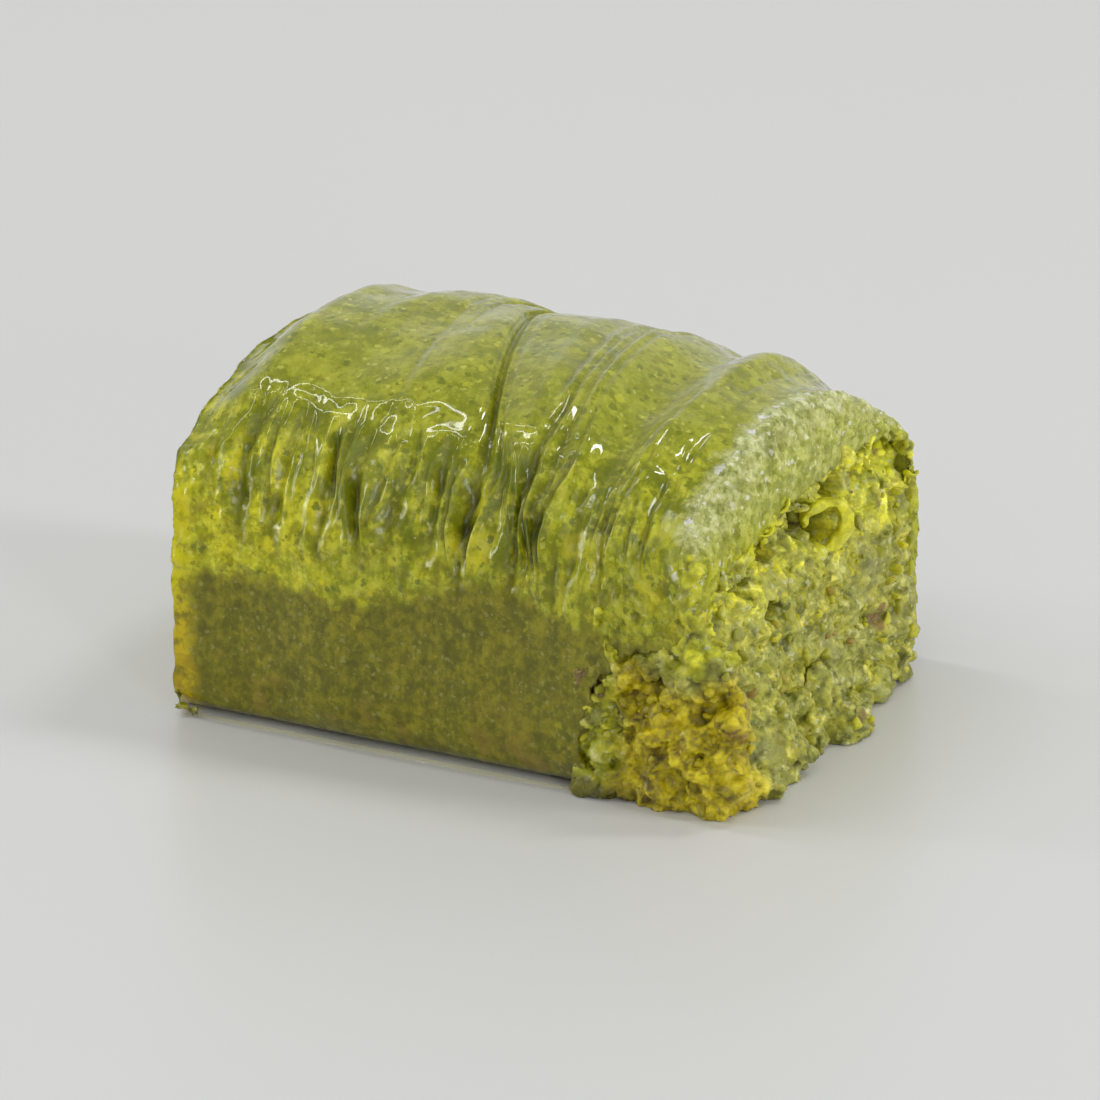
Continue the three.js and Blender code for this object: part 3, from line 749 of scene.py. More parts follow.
def rough_end(side, y, z):
    """The same end with its hollows, clumps and chips: x, tone and depth."""
    place = np.stack([np.full_like(y, 60.0 * side), y, z], axis=-1)
    clumps, clump_tone, clump_deep = crumbly(place, 110)
    grains, grain_tone, grain_deep = crumbly(place, 130, 0.45)
    lumpy = lerp(0.45, 1.1, smooth((z - 12) / 4))
    out = lumpy * clumps + 0.9 * grains
    tone = 0.4 * clump_tone + 0.6 * grain_tone
    deep = clamp01(0.7 * lumpy * clump_deep + 0.5 * grain_deep)
    if side > 0:
        for at_y, at_z, radius in HOLLOWS:
            distance = np.hypot((y - at_y) / 1.25, z - at_z) / radius + 0.5 * clumps
            hollow = smooth((1.2 - distance) / 0.6)
            out = out - HOLLOW_DEPTH * hollow
            # The hollows take the full painted shade.
            deep = np.maximum(deep, hollow)
    return end_of_filling(side, y, z) + side * out, tone, deep


def square_places(cells):
    """A square grid of (2 cells + 1) squared places: ring of each, and how far round that ring it is."""
    i, j = np.meshgrid(np.arange(-cells, cells + 1), np.arange(-cells, cells + 1), indexing="ij")
    ring = np.maximum(np.abs(i), np.abs(j))
    r = np.maximum(ring, 1)
    round_ring = np.select(
        [(i == ring) & (j < ring), (j == ring) & (i > -ring), (i == -ring) & (j > -ring)],
        [(j + r) / (8 * r), (3 * r - i) / (8 * r), (5 * r - j) / (8 * r)],
        (7 * r + i) / (8 * r),
    )
    return ring / cells, round_ring % 1.0


def filling_shape():
    """The filling's body: two rough ends on a section like the wrapper's inside."""
    ring_y, ring_z = inner_section(2 * END_CELLS)[:2]
    ring, way = square_places(END_CELLS)
    count = 8 * END_CELLS
    exact = way * count
    low = np.floor(exact).astype(int) % count
    share = exact - np.floor(exact)
    edge_y = lerp(ring_y[low], ring_y[(low + 1) % count], share)
    edge_z = lerp(ring_z[low], ring_z[(low + 1) % count], share)
    middle_z = 0.5 * FILLING_HEIGHT
    y = ring * edge_y
    z = middle_z + ring * (edge_z - middle_z)
    ends = [rough_end(side, y, z) for side in (1, -1)]
    right, left = (np.stack([x, y, z], axis=-1).reshape(-1, 3) for x, _, _ in ends)
    along = np.linspace(HALF_LENGTH - 10, HALF_LENGTH - 1.5, WALL_ROWS)[:, None]
    walls = np.stack(np.broadcast_arrays(along, ring_y, ring_z), axis=-1).reshape(-1, 3)

    size = 2 * END_CELLS + 1
    total = size * size
    corner = np.arange(size - 1)
    a = (corner[:, None] * size + corner[None, :]).reshape(-1)
    quads = np.stack([a, a + size, a + size + 1, a + 1], axis=-1)
    on_rim = np.flatnonzero(ring.reshape(-1) == 1)
    rim = np.full(count, -1)
    rim[np.rint(exact).astype(int).reshape(-1)[on_rim] % count] = on_rim
    rows = [total + rim] + [2 * total + k * count + np.arange(count) for k in range(WALL_ROWS)] + [rim]
    bands = [np.stack([p, np.roll(p, -1), np.roll(q, -1), q], axis=-1) for p, q in zip(rows, rows[1:])]
    faces = np.concatenate([quads, quads[:, ::-1] + total, *bands])

    plain = np.full(len(walls), 0.5)
    marks = {}
    for k, name in ((1, "tone"), (2, "deep")):
        marks[name] = np.concatenate([ends[0][k].reshape(-1), ends[1][k].reshape(-1), plain])
    return np.concatenate([right, left, walls]), faces, marks


def ball(subdivisions):
    """Directions and triangles of an even ball."""
    made = bmesh.new()
    bmesh.ops.create_icosphere(made, subdivisions=subdivisions, radius=1.0)
    directions = np.array([v.co[:] for v in made.verts])
    faces = np.array([[v.index for v in f.verts] for f in made.faces])
    made.free()
    return directions, faces


def superellipsoid(directions, radii, power):
    """Points of a superellipsoid in those directions."""
    reach = np.sum(np.abs(directions) ** power, axis=-1, keepdims=True) ** (-1 / power)
    return directions * reach * np.asarray(radii)


def lump(centre, radii, power, subdivisions):
    directions, faces = ball(subdivisions)
    return superellipsoid(directions, radii, power) + np.asarray(centre), faces


def crumbly_lump(centre, radii, power, subdivisions, seed):
    """A lump with a broken surface."""
    points, faces = lump(centre, radii, power, subdivisions)
    outwards = (points - centre) / np.linalg.norm(points - centre, axis=-1, keepdims=True)
    uneven = 1.4 * crumbly(points, seed)[0] + 1.3 * layered_noise(points, 5.0, 2, seed + 7)
    return points + outwards * uneven[:, None], faces


def clot(centre, radius, draw):
    radii = [radius * (share + 0.28 * (draw() - 0.5)) for share in (0.97, 1.05, 0.97)]
    return {"centre": np.array(centre), "radii": np.array(radii)}


def spill_clots(draw):
    """The clots in the torn corner, drawn as in the solids."""
    clots = []
    for column in range(SPILL_COLUMNS):
        for row in range(SPILL_ROWS):
            along = (column + 0.6 * (draw() - 0.5)) / (SPILL_COLUMNS - 1)
            height = (row + 0.6 * (draw() - 0.5)) / (SPILL_ROWS - 1)
            shares = np.array([along, draw(), height])
            clots.append(clot(lerp(np.array(SPILL_FROM), np.array(SPILL_TO), shares), SPILL_RADIUS, draw))
    return clots


def slump_clots(side, feet, draw):
    """The clots at the foot of one end, drawn as in the solids."""
    clots = []
    rise, share, least = SECOND_LEVEL
    for y, reach in feet:
        radius = lerp(*CLOT_RADIUS, draw())
        across = y + 1.2 * (draw() - 0.5)
        clots.append(clot([side * (HALF_LENGTH + reach - radius), across, 0.5 * radius], radius, draw))
        if reach * share < least:
            continue
        upper = [side * (HALF_LENGTH + reach * share - radius), y + 2 * draw() - 1, 0.5 * radius + rise]
        clots.append(clot(upper, radius, draw))
    return clots


def merged(shapes):
    """One shape from several."""
    points, faces, count = [], [], 0
    for shape_points, shape_faces in shapes:
        points.append(shape_points)
        faces.append(shape_faces + count)
        count += len(shape_points)
    return np.concatenate(points), np.concatenate(faces)


def melted(shapes, voxel):
    """Lumps run together into one skin: points, normals and faces."""
    points, faces = merged(shapes)
    mesh = bpy.data.meshes.new("lumps")
    mesh.from_pydata((points * MM).tolist(), [], faces.tolist())
    holder = bpy.data.objects.new("lumps", mesh)
    bpy.context.scene.collection.objects.link(holder)
    skin = holder.modifiers.new("skin", "REMESH")
    skin.mode = "VOXEL"
    skin.voxel_size = voxel * MM
    soften = holder.modifiers.new("soften", "SMOOTH")
    soften.factor = 0.5
    soften.iterations = 2
    depsgraph = bpy.context.evaluated_depsgraph_get()
    skinned = bpy.data.meshes.new_from_object(holder.evaluated_get(depsgraph), depsgraph=depsgraph)
    new_points, normals = np.empty(3 * len(skinned.vertices)), np.empty(3 * len(skinned.vertices))
    skinned.vertices.foreach_get("co", new_points)
    skinned.vertex_normals.foreach_get("vector", normals)
    new_faces = np.array([list(face.vertices) for face in skinned.polygons])
    bpy.data.objects.remove(holder)
    return new_points.reshape(-1, 3) / MM, normals.reshape(-1, 3), new_faces


def spilled_shape(shapes, seed):
    """The melted lumps with a broken surface."""
    points, normals, faces = melted(shapes, CLOT_VOXEL)
    relief, tone, deep = crumbly(points, seed)
    grains, grain_tone, grain_deep = crumbly(points, seed + 20, 0.5)
    out = 0.8 * relief + 0.5 * grains
    # deep: how deep each place lies, darkened later as painted shade in the gaps between lumps.
    marks = {"tone": 0.7 * tone + 0.3 * grain_tone, "deep": clamp01(1.4 * deep + 0.4 * grain_deep)}
    return points + normals * out[:, None], faces, marks


# ---------------------------------------------------------------- crumbs

def crumb_shapes(centres, radii, subdivisions, seed):
    """Angular grains of chopped nut, one at each centre, in one mesh."""
    directions, faces = ball(subdivisions)
    rng = np.random.default_rng(seed)
    count = len(centres)
    normals = rng.normal(size=(count, 10, 3))
    normals /= np.linalg.norm(normals, axis=-1, keepdims=True)
    heights = rng.uniform(0.6, 1.0, size=(count, 10))
    facing = np.maximum(0, np.einsum("vk,cpk->cvp", directions, normals)) / heights[:, None, :]
    reach = (np.sum(facing**12, axis=-1) + 0.6**12) ** (-1 / 12)
    points = directions[None] * np.minimum(reach, 1.5)[..., None]
    stretch = rng.uniform(0.65, 1.3, size=(count, 1, 3))
    points = points * stretch * radii[:, None, None] + centres[:, None, :]
    all_faces = faces[None] + (np.arange(count) * len(directions))[:, None, None]
    return points.reshape(-1, 3), all_faces.reshape(-1, 3)


def crumbs_of_all_sizes(centres, radii, seed):
    """Fine facets on the larger crumbs, few on the small ones."""
    large = radii > LARGE_CRUMB
    shapes = [crumb_shapes(centres[large], radii[large], 3, seed)]
    shapes.append(crumb_shapes(centres[~large], radii[~large], 2, seed + 1))
    return merged(shapes)


def crumb_radii(count, least, most, rng, bias=2.2):
    return lerp(least, most, rng.random(count) ** bias)


def keep_inside(centres, radii, box):
    """Crumbs moved in so that none reaches out of the box."""
    low, high = box
    reach = 1.5 * radii[:, None]
    return np.minimum(np.maximum(centres, low + reach * (1, 1, 0.5)), high - reach)


def face_crumb_places(side, count, rng):
    """Crumbs on an end of the filling."""
    y = rng.uniform(-16.6, 16.6, size=3 * count)
    z = rng.uniform(1.0, FILLING_HEIGHT - 0.6, size=3 * count)
    crown = FILLING_HEIGHT - 0.8 - 5 * np.abs(y / HALF_WIDTH) ** 4
    keep = np.flatnonzero(z < crown)[:count]
    y, z = y[keep], z[keep]
    return np.stack([rough_end(side, y, z)[0], y, z], axis=-1)


def clot_crumb_places(clots, per_clot, outwards, rng):
    """Crumbs on the clots' outer sides."""
    places = []
    for c in clots:
        direction = rng.normal(size=(6 * per_clot, 3))
        direction /= np.linalg.norm(direction, axis=-1, keepdims=True)
        direction = direction[direction @ np.array(outwards) > 0.25][:per_clot]
        places.append(c["centre"] + superellipsoid(direction, c["radii"], CLOT_POWER) * 1.02)
    return np.concatenate(places)


def fused_crumbs(carriers, rng):
    """The larger crumbs, melted into the clots. A carrier: its clots, crumbs on each, and where they face."""
    places = np.concatenate([clot_crumb_places(*carrier, rng) for carrier in carriers])
    radii = crumb_radii(len(places), *FUSED_CRUMB_RADII, rng, 1.6)
    return crumb_shapes(keep_inside(places, radii, OWN_BOX), radii, 3, 59)


def single_lumps():
    places, radii = (np.array(column) for column in zip(*SINGLE_LUMPS))
    return crumb_shapes(places, radii, 3, 95)


# ---------------------------------------------------------------- flakes and syrup

def bent_flake(width, height, thickness, bend, subdivisions, seed):
    """A scrap of dough bent about Z, its middle at the origin and curling towards +Y."""
    directions, faces = ball(subdivisions)
    body = superellipsoid(directions, (width / 2, thickness / 2, height / 2), 3.5)
    frayed = 1 + 0.35 * layered_noise(body + 7 * seed, 1.3, 3, seed)
    body[:, 2] *= frayed
    thick = 1 + 0.7 * layered_noise(body + 9 * seed, (2.4, 9.0, 9.0), 1, seed + 1) + 0.5 * (frayed - 1)
    radius = width / bend * (1 + 0.12 * layered_noise(body + 5 * seed, (3.0, 9.0, 9.0), 1, seed + 2))
    reach = radius - body[:, 1] * thick
    angle = body[:, 0] * bend / width
    return np.stack([reach * np.sin(angle), width / bend - reach * np.cos(angle), body[:, 2]], axis=-1), faces


def turned(points, turn_x, turn_y, turn_z):
    return points @ np.array(Euler((turn_x, turn_y, turn_z)).to_matrix()).T


def curled_flake():
    centre, width, height, thickness, bend = CURL
    own_turn, yaw = CURL_TURN
    points, faces = bent_flake(width, height, thickness, bend, 5, 3)
    points[:, 1] -= width / bend
    points = warped(turned(points, 0, 0, own_turn), 1.6, 0.55, 33)
    return turned(points[:, [2, 0, 1]], 0, 0, yaw) + np.array(centre), faces


def lip_places(lip_row, count, rng):
    """Places along the upper lip."""
    on_lip = lip_row[(lip_row[:, 2] > 13) & (np.abs(lip_row[:, 1]) < 17.5)]
    return on_lip[rng.integers(len(on_lip), size=count)] + rng.normal(0, 0.15, (count, 3)) + (0, 0, -0.2)


def frayed_flakes(lip_row, rng):
    """Small scraps that hang off the lip."""
    shapes = []
    for k, centre in enumerate(lip_places(lip_row, LIP_FLAKES, rng)):
        width, height = rng.uniform(0.9, 2.0), rng.uniform(0.5, 1.1)
        points, faces = bent_flake(width, height, rng.uniform(0.14, 0.25), rng.uniform(0.8, 2.6), 3, 20 + k)
        turn = (rng.uniform(0.9, 2.2), rng.uniform(-0.7, 0.7), rng.uniform(1.0, 2.1))
        shapes.append((turned(points, *turn) + centre, faces))
    return merged(shapes)


def frayed_lumps(lip_row, rng):
    """Crumbly bits that the lip and the upright edge by the torn corner are frayed into."""
    share = (np.arange(EDGE_LUMPS)[:, None] + rng.random((EDGE_LUMPS, 1))) / EDGE_LUMPS
    edge = lerp(np.array(EDGE_LUMPS_FROM), np.array(EDGE_LUMPS_TO), share)
    edge = edge + rng.normal(0, 0.2, (EDGE_LUMPS, 3))
    edge[:, 1] -= EDGE_LUMPS_BOW * np.sin(np.pi * share[:, 0])
    lip = lip_places(lip_row, LIP_LUMPS, rng)
    edge_radii = crumb_radii(EDGE_LUMPS, *EDGE_LUMP_RADII, rng, 1.4)
    lip_radii = crumb_radii(LIP_LUMPS, *LIP_LUMP_RADII, rng, 1.8)
    return crumb_shapes(np.concatenate([edge, lip]), np.concatenate([edge_radii, lip_radii]), 3, 91)


def syrup_film():
    """A thin pool that thins to its wavy outer edge."""
    steps, across = FILM_STEPS
    along = np.linspace(0, 1, steps)[:, None]
    x = lerp(FILM_FROM, FILM_TO, along)
    spots = np.concatenate([x, 0 * x, 0 * x], axis=-1)
    taper = np.sin(np.pi * along) ** 0.3 + 0.01
    reach = lerp(*FILM_REACH, 0.5 + 0.5 * layered_noise(spots, 5.0, 3, 17)[:, None]) * taper
    out = np.linspace(0, 1, across)[None, :]
    top = 0.02 + FILM_HEIGHT * taper * (1 - out**2.5)
    upper = np.stack([x + 0 * out, FILM_INNER - reach * out, top], axis=-1)
    lower = np.stack([x + 0 * out, FILM_INNER - reach * out, 0.01 + 0 * top], axis=-1)
    rows = np.concatenate([upper, lower[:, ::-1]], axis=1)
    sides = 2 * across
    caps = [list(range(sides))[::-1], [(steps - 1) * sides + k for k in range(sides)]]
    return rows.reshape(-1, 3), strip_faces(steps, sides, False).tolist() + caps


# ---------------------------------------------------------------- pieces

def shift_to_frame():
    """The move, in millimetres, from the piece's own origin to the frame's."""
    low, high = (np.array(corner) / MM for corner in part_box("wrapper"))
    middle = (low + high) / 2
    return np.array([middle[0] - WRAPPER_CENTRE[0], middle[1] - WRAPPER_CENTRE[1], 0.0])


def add_piece(name, points, faces, material, marks=None):
    """A mesh object in the frame, in metres."""
    mesh = bpy.data.meshes.new(name)
    mesh.from_pydata(((points + SHIFT) * MM).tolist(), [], list(map(list, faces)))
    for mark, values in (marks or {}).items():
        layer = mesh.attributes.new(mark, "FLOAT", "POINT")
        layer.data.foreach_set("value", values.reshape(-1).astype(np.float32))
    mesh.shade_smooth()
    mesh.materials.append(material)
    piece = bpy.data.objects.new(name, mesh)
    bpy.context.scene.collection.objects.link(piece)
    return piece


def cut_away(piece, points, faces):
    """Takes a closed shape out of a piece."""
    cutter = add_piece("cutter", points, faces, piece.data.materials[0])
    cutting = piece.modifiers.new("tear", "BOOLEAN")
    cutting.operation = "DIFFERENCE"
    cutting.solver = "MANIFOLD"
    cutting.object = cutter
    depsgraph = bpy.context.evaluated_depsgraph_get()
    cut_mesh = bpy.data.meshes.new_from_object(piece.evaluated_get(depsgraph), depsgraph=depsgraph)
    piece.modifiers.clear()
    piece.data = cut_mesh
    bpy.data.objects.remove(cutter)


def above_floor(points):
    """Points kept inside the solids' box, and just clear of what the piece stands on."""
    return np.maximum(np.clip(points, *OWN_BOX), (-np.inf, -np.inf, FLOOR_GAP))


def with_colours(points, marks):
    """The marks, with those that the paste's colours go by, painted shade at the foot of the torn corner
    among them.
    """
    deep = np.maximum(marks.get("deep", 0), painted_foot_shade(points))
    return {**marks, "golden": golden_share(points), "fresh": fresh_share(points), "deep": deep}


def add_crumbs(name, places, radii, material, seed):
    points, faces = crumbs_of_all_sizes(keep_inside(places, radii, OWN_BOX), radii, seed)
    return add_piece(name, above_floor(points), faces, material, with_colours(points, {}))


# ---------------------------------------------------------------- node helpers

class Nodes:
    """Short ways of writing a node tree."""

    def __init__(self, tree):
        self.tree = tree

    def feed(self, socket, value):
        """Links another socket to this one, or sets it to a number or colour."""
        if isinstance(value, bpy.types.NodeSocket):
            self.tree.links.new(value, socket)
        elif value is not None:
            socket.default_value = value

    def add(self, kind, inputs=None, **settings):
        """A new node with these settings. Its inputs are fed by name or number."""
        node = self.tree.nodes.new(kind)
        for name, value in settings.items():
            setattr(node, name, value)
        for key, value in (inputs or {}).items():
            self.feed(node.inputs[key], value)
        return node

    def place(self):
        return self.add("ShaderNodeTexCoord").outputs["Object"]

    def mark(self, name):
        return self.add("ShaderNodeAttribute", attribute_name=name).outputs["Fac"]

    def joined(self, x, y, z):
        return self.add("ShaderNodeCombineXYZ", {0: x, 1: y, 2: z}).outputs[0]

    def axis(self, vector, name):
        return self.add("ShaderNodeSeparateXYZ", {0: vector}).outputs[name]

    def scaled(self, vector, scale):
        return self.add("ShaderNodeMapping", {"Vector": vector, "Scale": scale}).outputs[0]

    def channels(self, colour):
        return self.add("ShaderNodeSeparateColor", {0: colour}).outputs

    def maths(self, operation, a, b=None, c=None):
        return self.add("ShaderNodeMath", {0: a, 1: b, 2: c}, operation=operation).outputs[0]

    def times(self, *values):
        result = values[0]
        for value in values[1:]:
            result = self.maths("MULTIPLY", result, value)
        return result

    def weighed(self, a, share, b):
        """a by that share, and b by the rest."""
        return self.maths("MULTIPLY_ADD", a, share, self.maths("MULTIPLY", b, 1 - share))

    def between(self, value, low, high, to_low=0.0, to_high=1.0):
        """A soft step from to_low, where the value is low, to to_high, where it is high."""
        steps = {"Value": value, "From Min": low, "From Max": high, "To Min": to_low, "To Max": to_high}
        return self.add("ShaderNodeMapRange", steps, interpolation_type="SMOOTHSTEP").outputs[0]

    def noise_of(self, vector, scale, detail, roughness, output="Fac"):
        numbers = {"Vector": vector, "Scale": scale, "Detail": detail, "Roughness": roughness}
        return self.add("ShaderNodeTexNoise", numbers).outputs[output]

    def noise(self, vector, size, detail=3.0, roughness=0.55):
        """Noise whose swells are about as wide as size, in metres."""
        return self.noise_of(vector, 1 / size, detail, roughness)

    def ragged(self, value, place, size, reach, roughness=0.6):
        """A value made uneven by noise, by up to half of reach either way."""
        noise = self.noise(place, size, 4.0, roughness)
        return self.maths("ADD", value, self.maths("MULTIPLY_ADD", noise, reach, -reach / 2))

    def pushed(self, place, scale, reach):
        """A place pushed about by noise, by up to reach."""
        noise = self.noise_of(place, scale, 2.0, 0.5, "Color")
        push = {0: noise, 1: self.joined(reach, reach, reach), 2: place}
        return self.add("ShaderNodeVectorMath", push, operation="MULTIPLY_ADD").outputs[0]

    def cells(self, place, scale):
        """Cells that each have a random colour, and the distance to the middle of the nearest."""
        return self.add("ShaderNodeTexVoronoi", {"Vector": place, "Scale": scale}).outputs

    def mix(self, factor, a, b, blend="MIX"):
        inputs = {0: factor, 6: a, 7: b}
        return self.add("ShaderNodeMix", inputs, data_type="RGBA", blend_type=blend).outputs[2]

    def tinted(self, mask, colour, tint):
        return self.mix(mask, colour, tint, "MULTIPLY")

    def laid(self, colour, *layers):
        """A colour under others, each laid on through its mask."""
        for mask, over in layers:
            colour = self.mix(mask, colour, over)
        return colour

    def ramp(self, factor, stops):
        node = self.add("ShaderNodeValToRGB", {0: factor})
        elements = node.color_ramp.elements
        while len(elements) < len(stops):
            elements.new(0.5)
        for element, (at, *colour) in zip(elements, stops):
            element.position = at
            element.color = rgb(*colour)
        return node.outputs[0]

    def bump(self, height, distance):
        return self.add("ShaderNodeBump", {"Height": height, "Distance": distance}).outputs[0]

    def group(self, tree, **inputs):
        return self.add("ShaderNodeGroup", inputs, node_tree=tree).outputs

    def ground_nut(self, place, size):
        return self.group(GROUND_PISTACHIO, Place=place, Size=size)

    def specks(self, place, size, share):
        return self.group(SPECKS, Place=place, Size=size, Share=share)["Mask"]

    # Painted shade: the colour darkened where depth is high, in hollows, creases and gaps.
    def with_hollow_shade(self, colour, depth):
        return self.group(PAINTED_HOLLOW_SHADE, Colour=colour, Depth=depth)["Colour"]


def rgb(r, g, b):
    return (r, g, b, 1.0)


def new_material(name):
    material = bpy.data.materials.new(name)
    material.use_nodes = True
    return material, Nodes(material.node_tree), material.node_tree.nodes["Principled BSDF"]


def new_group(name, takes, gives):
    """A shader node group: its nodes, its given inputs and its output node."""
    tree = bpy.data.node_groups.new(name, "ShaderNodeTree")
    for way, sockets in (("INPUT", takes), ("OUTPUT", gives)):
        for socket, kind in sockets.items():
            tree.interface.new_socket(name=socket, in_out=way, socket_type="NodeSocket" + kind)
    nodes = Nodes(tree)
    return nodes, nodes.add("NodeGroupInput").outputs, nodes.add("NodeGroupOutput").inputs


# ---------------------------------------------------------------- finishes

def ground_pistachio_group():
    """Chopped nut in paste: the tone of its bits, and its grain."""
    n, given, put = new_group(
        "ground pistachio", {"Place": "Vector", "Size": "Float"}, {"Tone": "Float", "Grain": "Float"}
    )
    place, size = given["Place"], given["Size"]
    scale = n.maths("DIVIDE", 1.0, size)
    bits = n.cells(n.pushed(place, scale, size), n.times(scale, 1.3))
    mottle = n.between(n.noise_of(place, scale, 5.0, 0.7), 0.3, 0.7)
    n.feed(put["Tone"], n.weighed(n.channels(bits["Color"])[0], 0.45, mottle))
    n.feed(put["Grain"], n.noise_of(place, n.times(scale, 3.0), 4.0, 0.7))
    return n.tree


def specks_group():
    """Scattered specks of uneven size. Share is how many of the places hold one."""
    n, given, put = new_group(
        "specks", {"Place": "Vector", "Size": "Float", "Share": "Float"}, {"Mask": "Float"}
    )
    scale = n.maths("DIVIDE", 1.0, given["Size"])
    bits = n.cells(n.pushed(given["Place"], n.times(scale, 1.7), given["Size"]), scale)
    chance, other_chance, _ = n.channels(bits["Color"])
    there = n.maths("LESS_THAN", chance, given["Share"])
    reach = n.maths("MULTIPLY_ADD", other_chance, 0.28, 0.16)
    n.feed(put["Mask"], n.times(there, n.between(n.maths("SUBTRACT", bits["Distance"], reach), 0.07, -0.07)))
    return n.tree


def hollow_shade_group():
    """Painted shade in hollows, creases and gaps: darker and more saturated where Depth is 1."""
    n, given, put = new_group("painted hollow shade", {"Colour": "Color", "Depth": "Float"}, {"Colour": "Color"})
    n.feed(put["Colour"], n.tinted(given["Depth"], given["Colour"], rgb(0.16, 0.15, 0.04)))
    return n.tree


def set_numbers(shader, numbers):
    for name, value in numbers.items():
        shader.inputs[name].default_value = value


def wet(n, shader, colour, grain, skin, coat_roughness, glow, glow_depth):
    """A moist, slightly see-through finish under a wet skin. Grain and skin: their relief and its height."""
    set_numbers(shader, WET_NUMBERS)
    set_numbers(
        shader,
        {"Coat Roughness": coat_roughness, "Subsurface Weight": glow, "Subsurface Scale": glow_depth},
    )
    n.feed(shader.inputs["Base Color"], colour)
    n.feed(shader.inputs["Normal"], n.bump(*grain))
    n.feed(shader.inputs["Coat Normal"], n.bump(*skin))


def dough_spot(n):
    """What the layers of the dough go by at a spot: its marks and height, and the grain of the nuts below."""
    place = n.place()
    names = ("along", "round", "above", "edge", "crease", "tone", "deep", "film")
    return SimpleNamespace(
        place=place,
        height=n.axis(place, "Z"),
        coarse=n.noise(place, 0.0034, 4.0, 0.6),
        fine=n.noise(place, 0.0008, 6.0, 0.7),
        nuts=n.ground_nut(place, 0.0022)["Tone"],
        bits=n.ground_nut(place, 0.0009),
        **{name: n.mark(name) for name in names},
    )


def flow(n, at, stretch):
    """A place in which noise is drawn out round the roll, the way that the dough hangs."""
    return n.joined(at.along, n.times(at.round, stretch), 0.0)


def hanging_dough(n, at):
    """Dough above the syrup line, thin enough to show the nuts below, and streaked the way that it hangs."""
    height = at.height
    crest = n.between(height, 0.0250, 0.0280)
    colour = n.laid(
        n.ramp(n.weighed(at.nuts, 0.45, at.coarse), HANGING_TONES),
        (n.between(at.fine, 0.47, 0.39, 0.0, 0.6), rgb(0.16, 0.18, 0.002)),
        (n.between(at.fine, 0.53, 0.61, 0.0, 0.6), rgb(0.52, 0.53, 0.06)),
        (n.times(crest, 0.25), rgb(0.34, 0.365, 0.03)),
    )
    colour = n.tinted(crest, colour, rgb(0.88, 0.88, 0.8))
    flank = n.between(height, 0.0270, 0.0240)
    below_shoulder = n.times(n.between(height, 0.0150, 0.0190), n.between(height, 0.0262, 0.0240))
    shaded = n.times(n.between(height, 0.0195, 0.0220), n.between(height, 0.0268, 0.0252))
    streaks = n.noise(flow(n, at, 0.2), 0.0010, 5.0, 0.7)
    pools = n.between(n.noise(n.scaled(at.place, (1.0, 1.0, 0.8)), 0.0040, 5.0, 0.65), 0.50, 0.62)
    wells = n.between(n.noise(n.scaled(at.place, (1.0, 1.0, 0.7)), 0.0030, 4.0, 0.6), 0.47, 0.57)
    patches = n.between(n.noise(at.place, 0.0021, 4.0, 0.6), 0.52, 0.66)
    stains = n.between(n.noise(at.place, 0.0017, 5.0, 0.7), 0.50, 0.40)
    colour = n.laid(
        colour,
        (n.times(n.between(streaks, 0.52, 0.66), flank, 0.6), rgb(0.52, 0.50, 0.03)),
        (n.times(n.between(streaks, 0.48, 0.36), flank, 0.6), rgb(0.16, 0.175, 0.001)),
        (n.times(pools, below_shoulder, 0.85), rgb(0.11, 0.135, 0.0003)),
        (n.times(wells, shaded, 0.7), rgb(0.12, 0.145, 0.0003)),
        (n.times(patches, n.between(height, 0.0250, 0.0190), 0.7), rgb(0.54, 0.50, 0.02)),
        (n.times(stains, n.between(height, 0.0220, 0.0170), 0.6), rgb(0.17, 0.16, 0.003)),
    )
    # Brighter and yellower on the left of the flank: partly the dough's own yellower colour, partly painted
    # light standing in for more light from the left.
    left_flank = n.times(n.between(at.along, -0.004, -0.016), n.between(height, 0.0260, 0.0220), 0.7)
    colour = n.tinted(left_flank, colour, rgb(1.45, 1.38, 0.8))
    colour = n.tinted(n.between(height, 0.0270, 0.0230, 0.0, 0.8), colour, rgb(1.2, 1.18, 0.9))
    colour = n.laid(
        colour,
        (n.times(n.specks(at.place, 0.0008, 0.35), 0.75), rgb(0.14, 0.165, 0.003)),
        (n.times(n.specks(at.place, 0.0011, 0.16), 0.4), rgb(0.58, 0.58, 0.03)),
        (n.times(n.specks(at.place, 0.0006, 0.16), 0.45), rgb(0.66, 0.64, 0.12)),
    )
    # Painted shade in the folds and creases, weaker near the crest.
    return n.with_hollow_shade(colour, n.times(at.crease, n.between(height, 0.0285, 0.0255, 0.35)))


def soaked_dough(n, at):
    """Dark, fine-grained dough below the syrup line, with faint upright streaks."""
    threads = n.noise(flow(n, at, 0.3), 0.0013, 4.0, 0.65)
    foot = n.between(at.height, 0.0080, 0.0015)
    return n.laid(
        n.ramp(n.weighed(threads, 0.65, at.bits["Tone"]), SOAKED_TONES),
        (n.between(at.fine, 0.47, 0.37, 0.0, 0.5), rgb(0.09, 0.092, 0.001)),
        (n.between(at.fine, 0.53, 0.63, 0.0, 0.5), rgb(0.30, 0.28, 0.02)),
        (n.times(n.specks(at.place, 0.0005, 0.24), 0.38), rgb(0.40, 0.39, 0.11)),
        (n.times(n.specks(at.place, 0.0015, 0.06), 0.55), rgb(0.40, 0.38, 0.01)),
        (n.times(n.between(at.coarse, 0.54, 0.64), foot, 0.45), rgb(0.30, 0.20, 0.03)),
    )


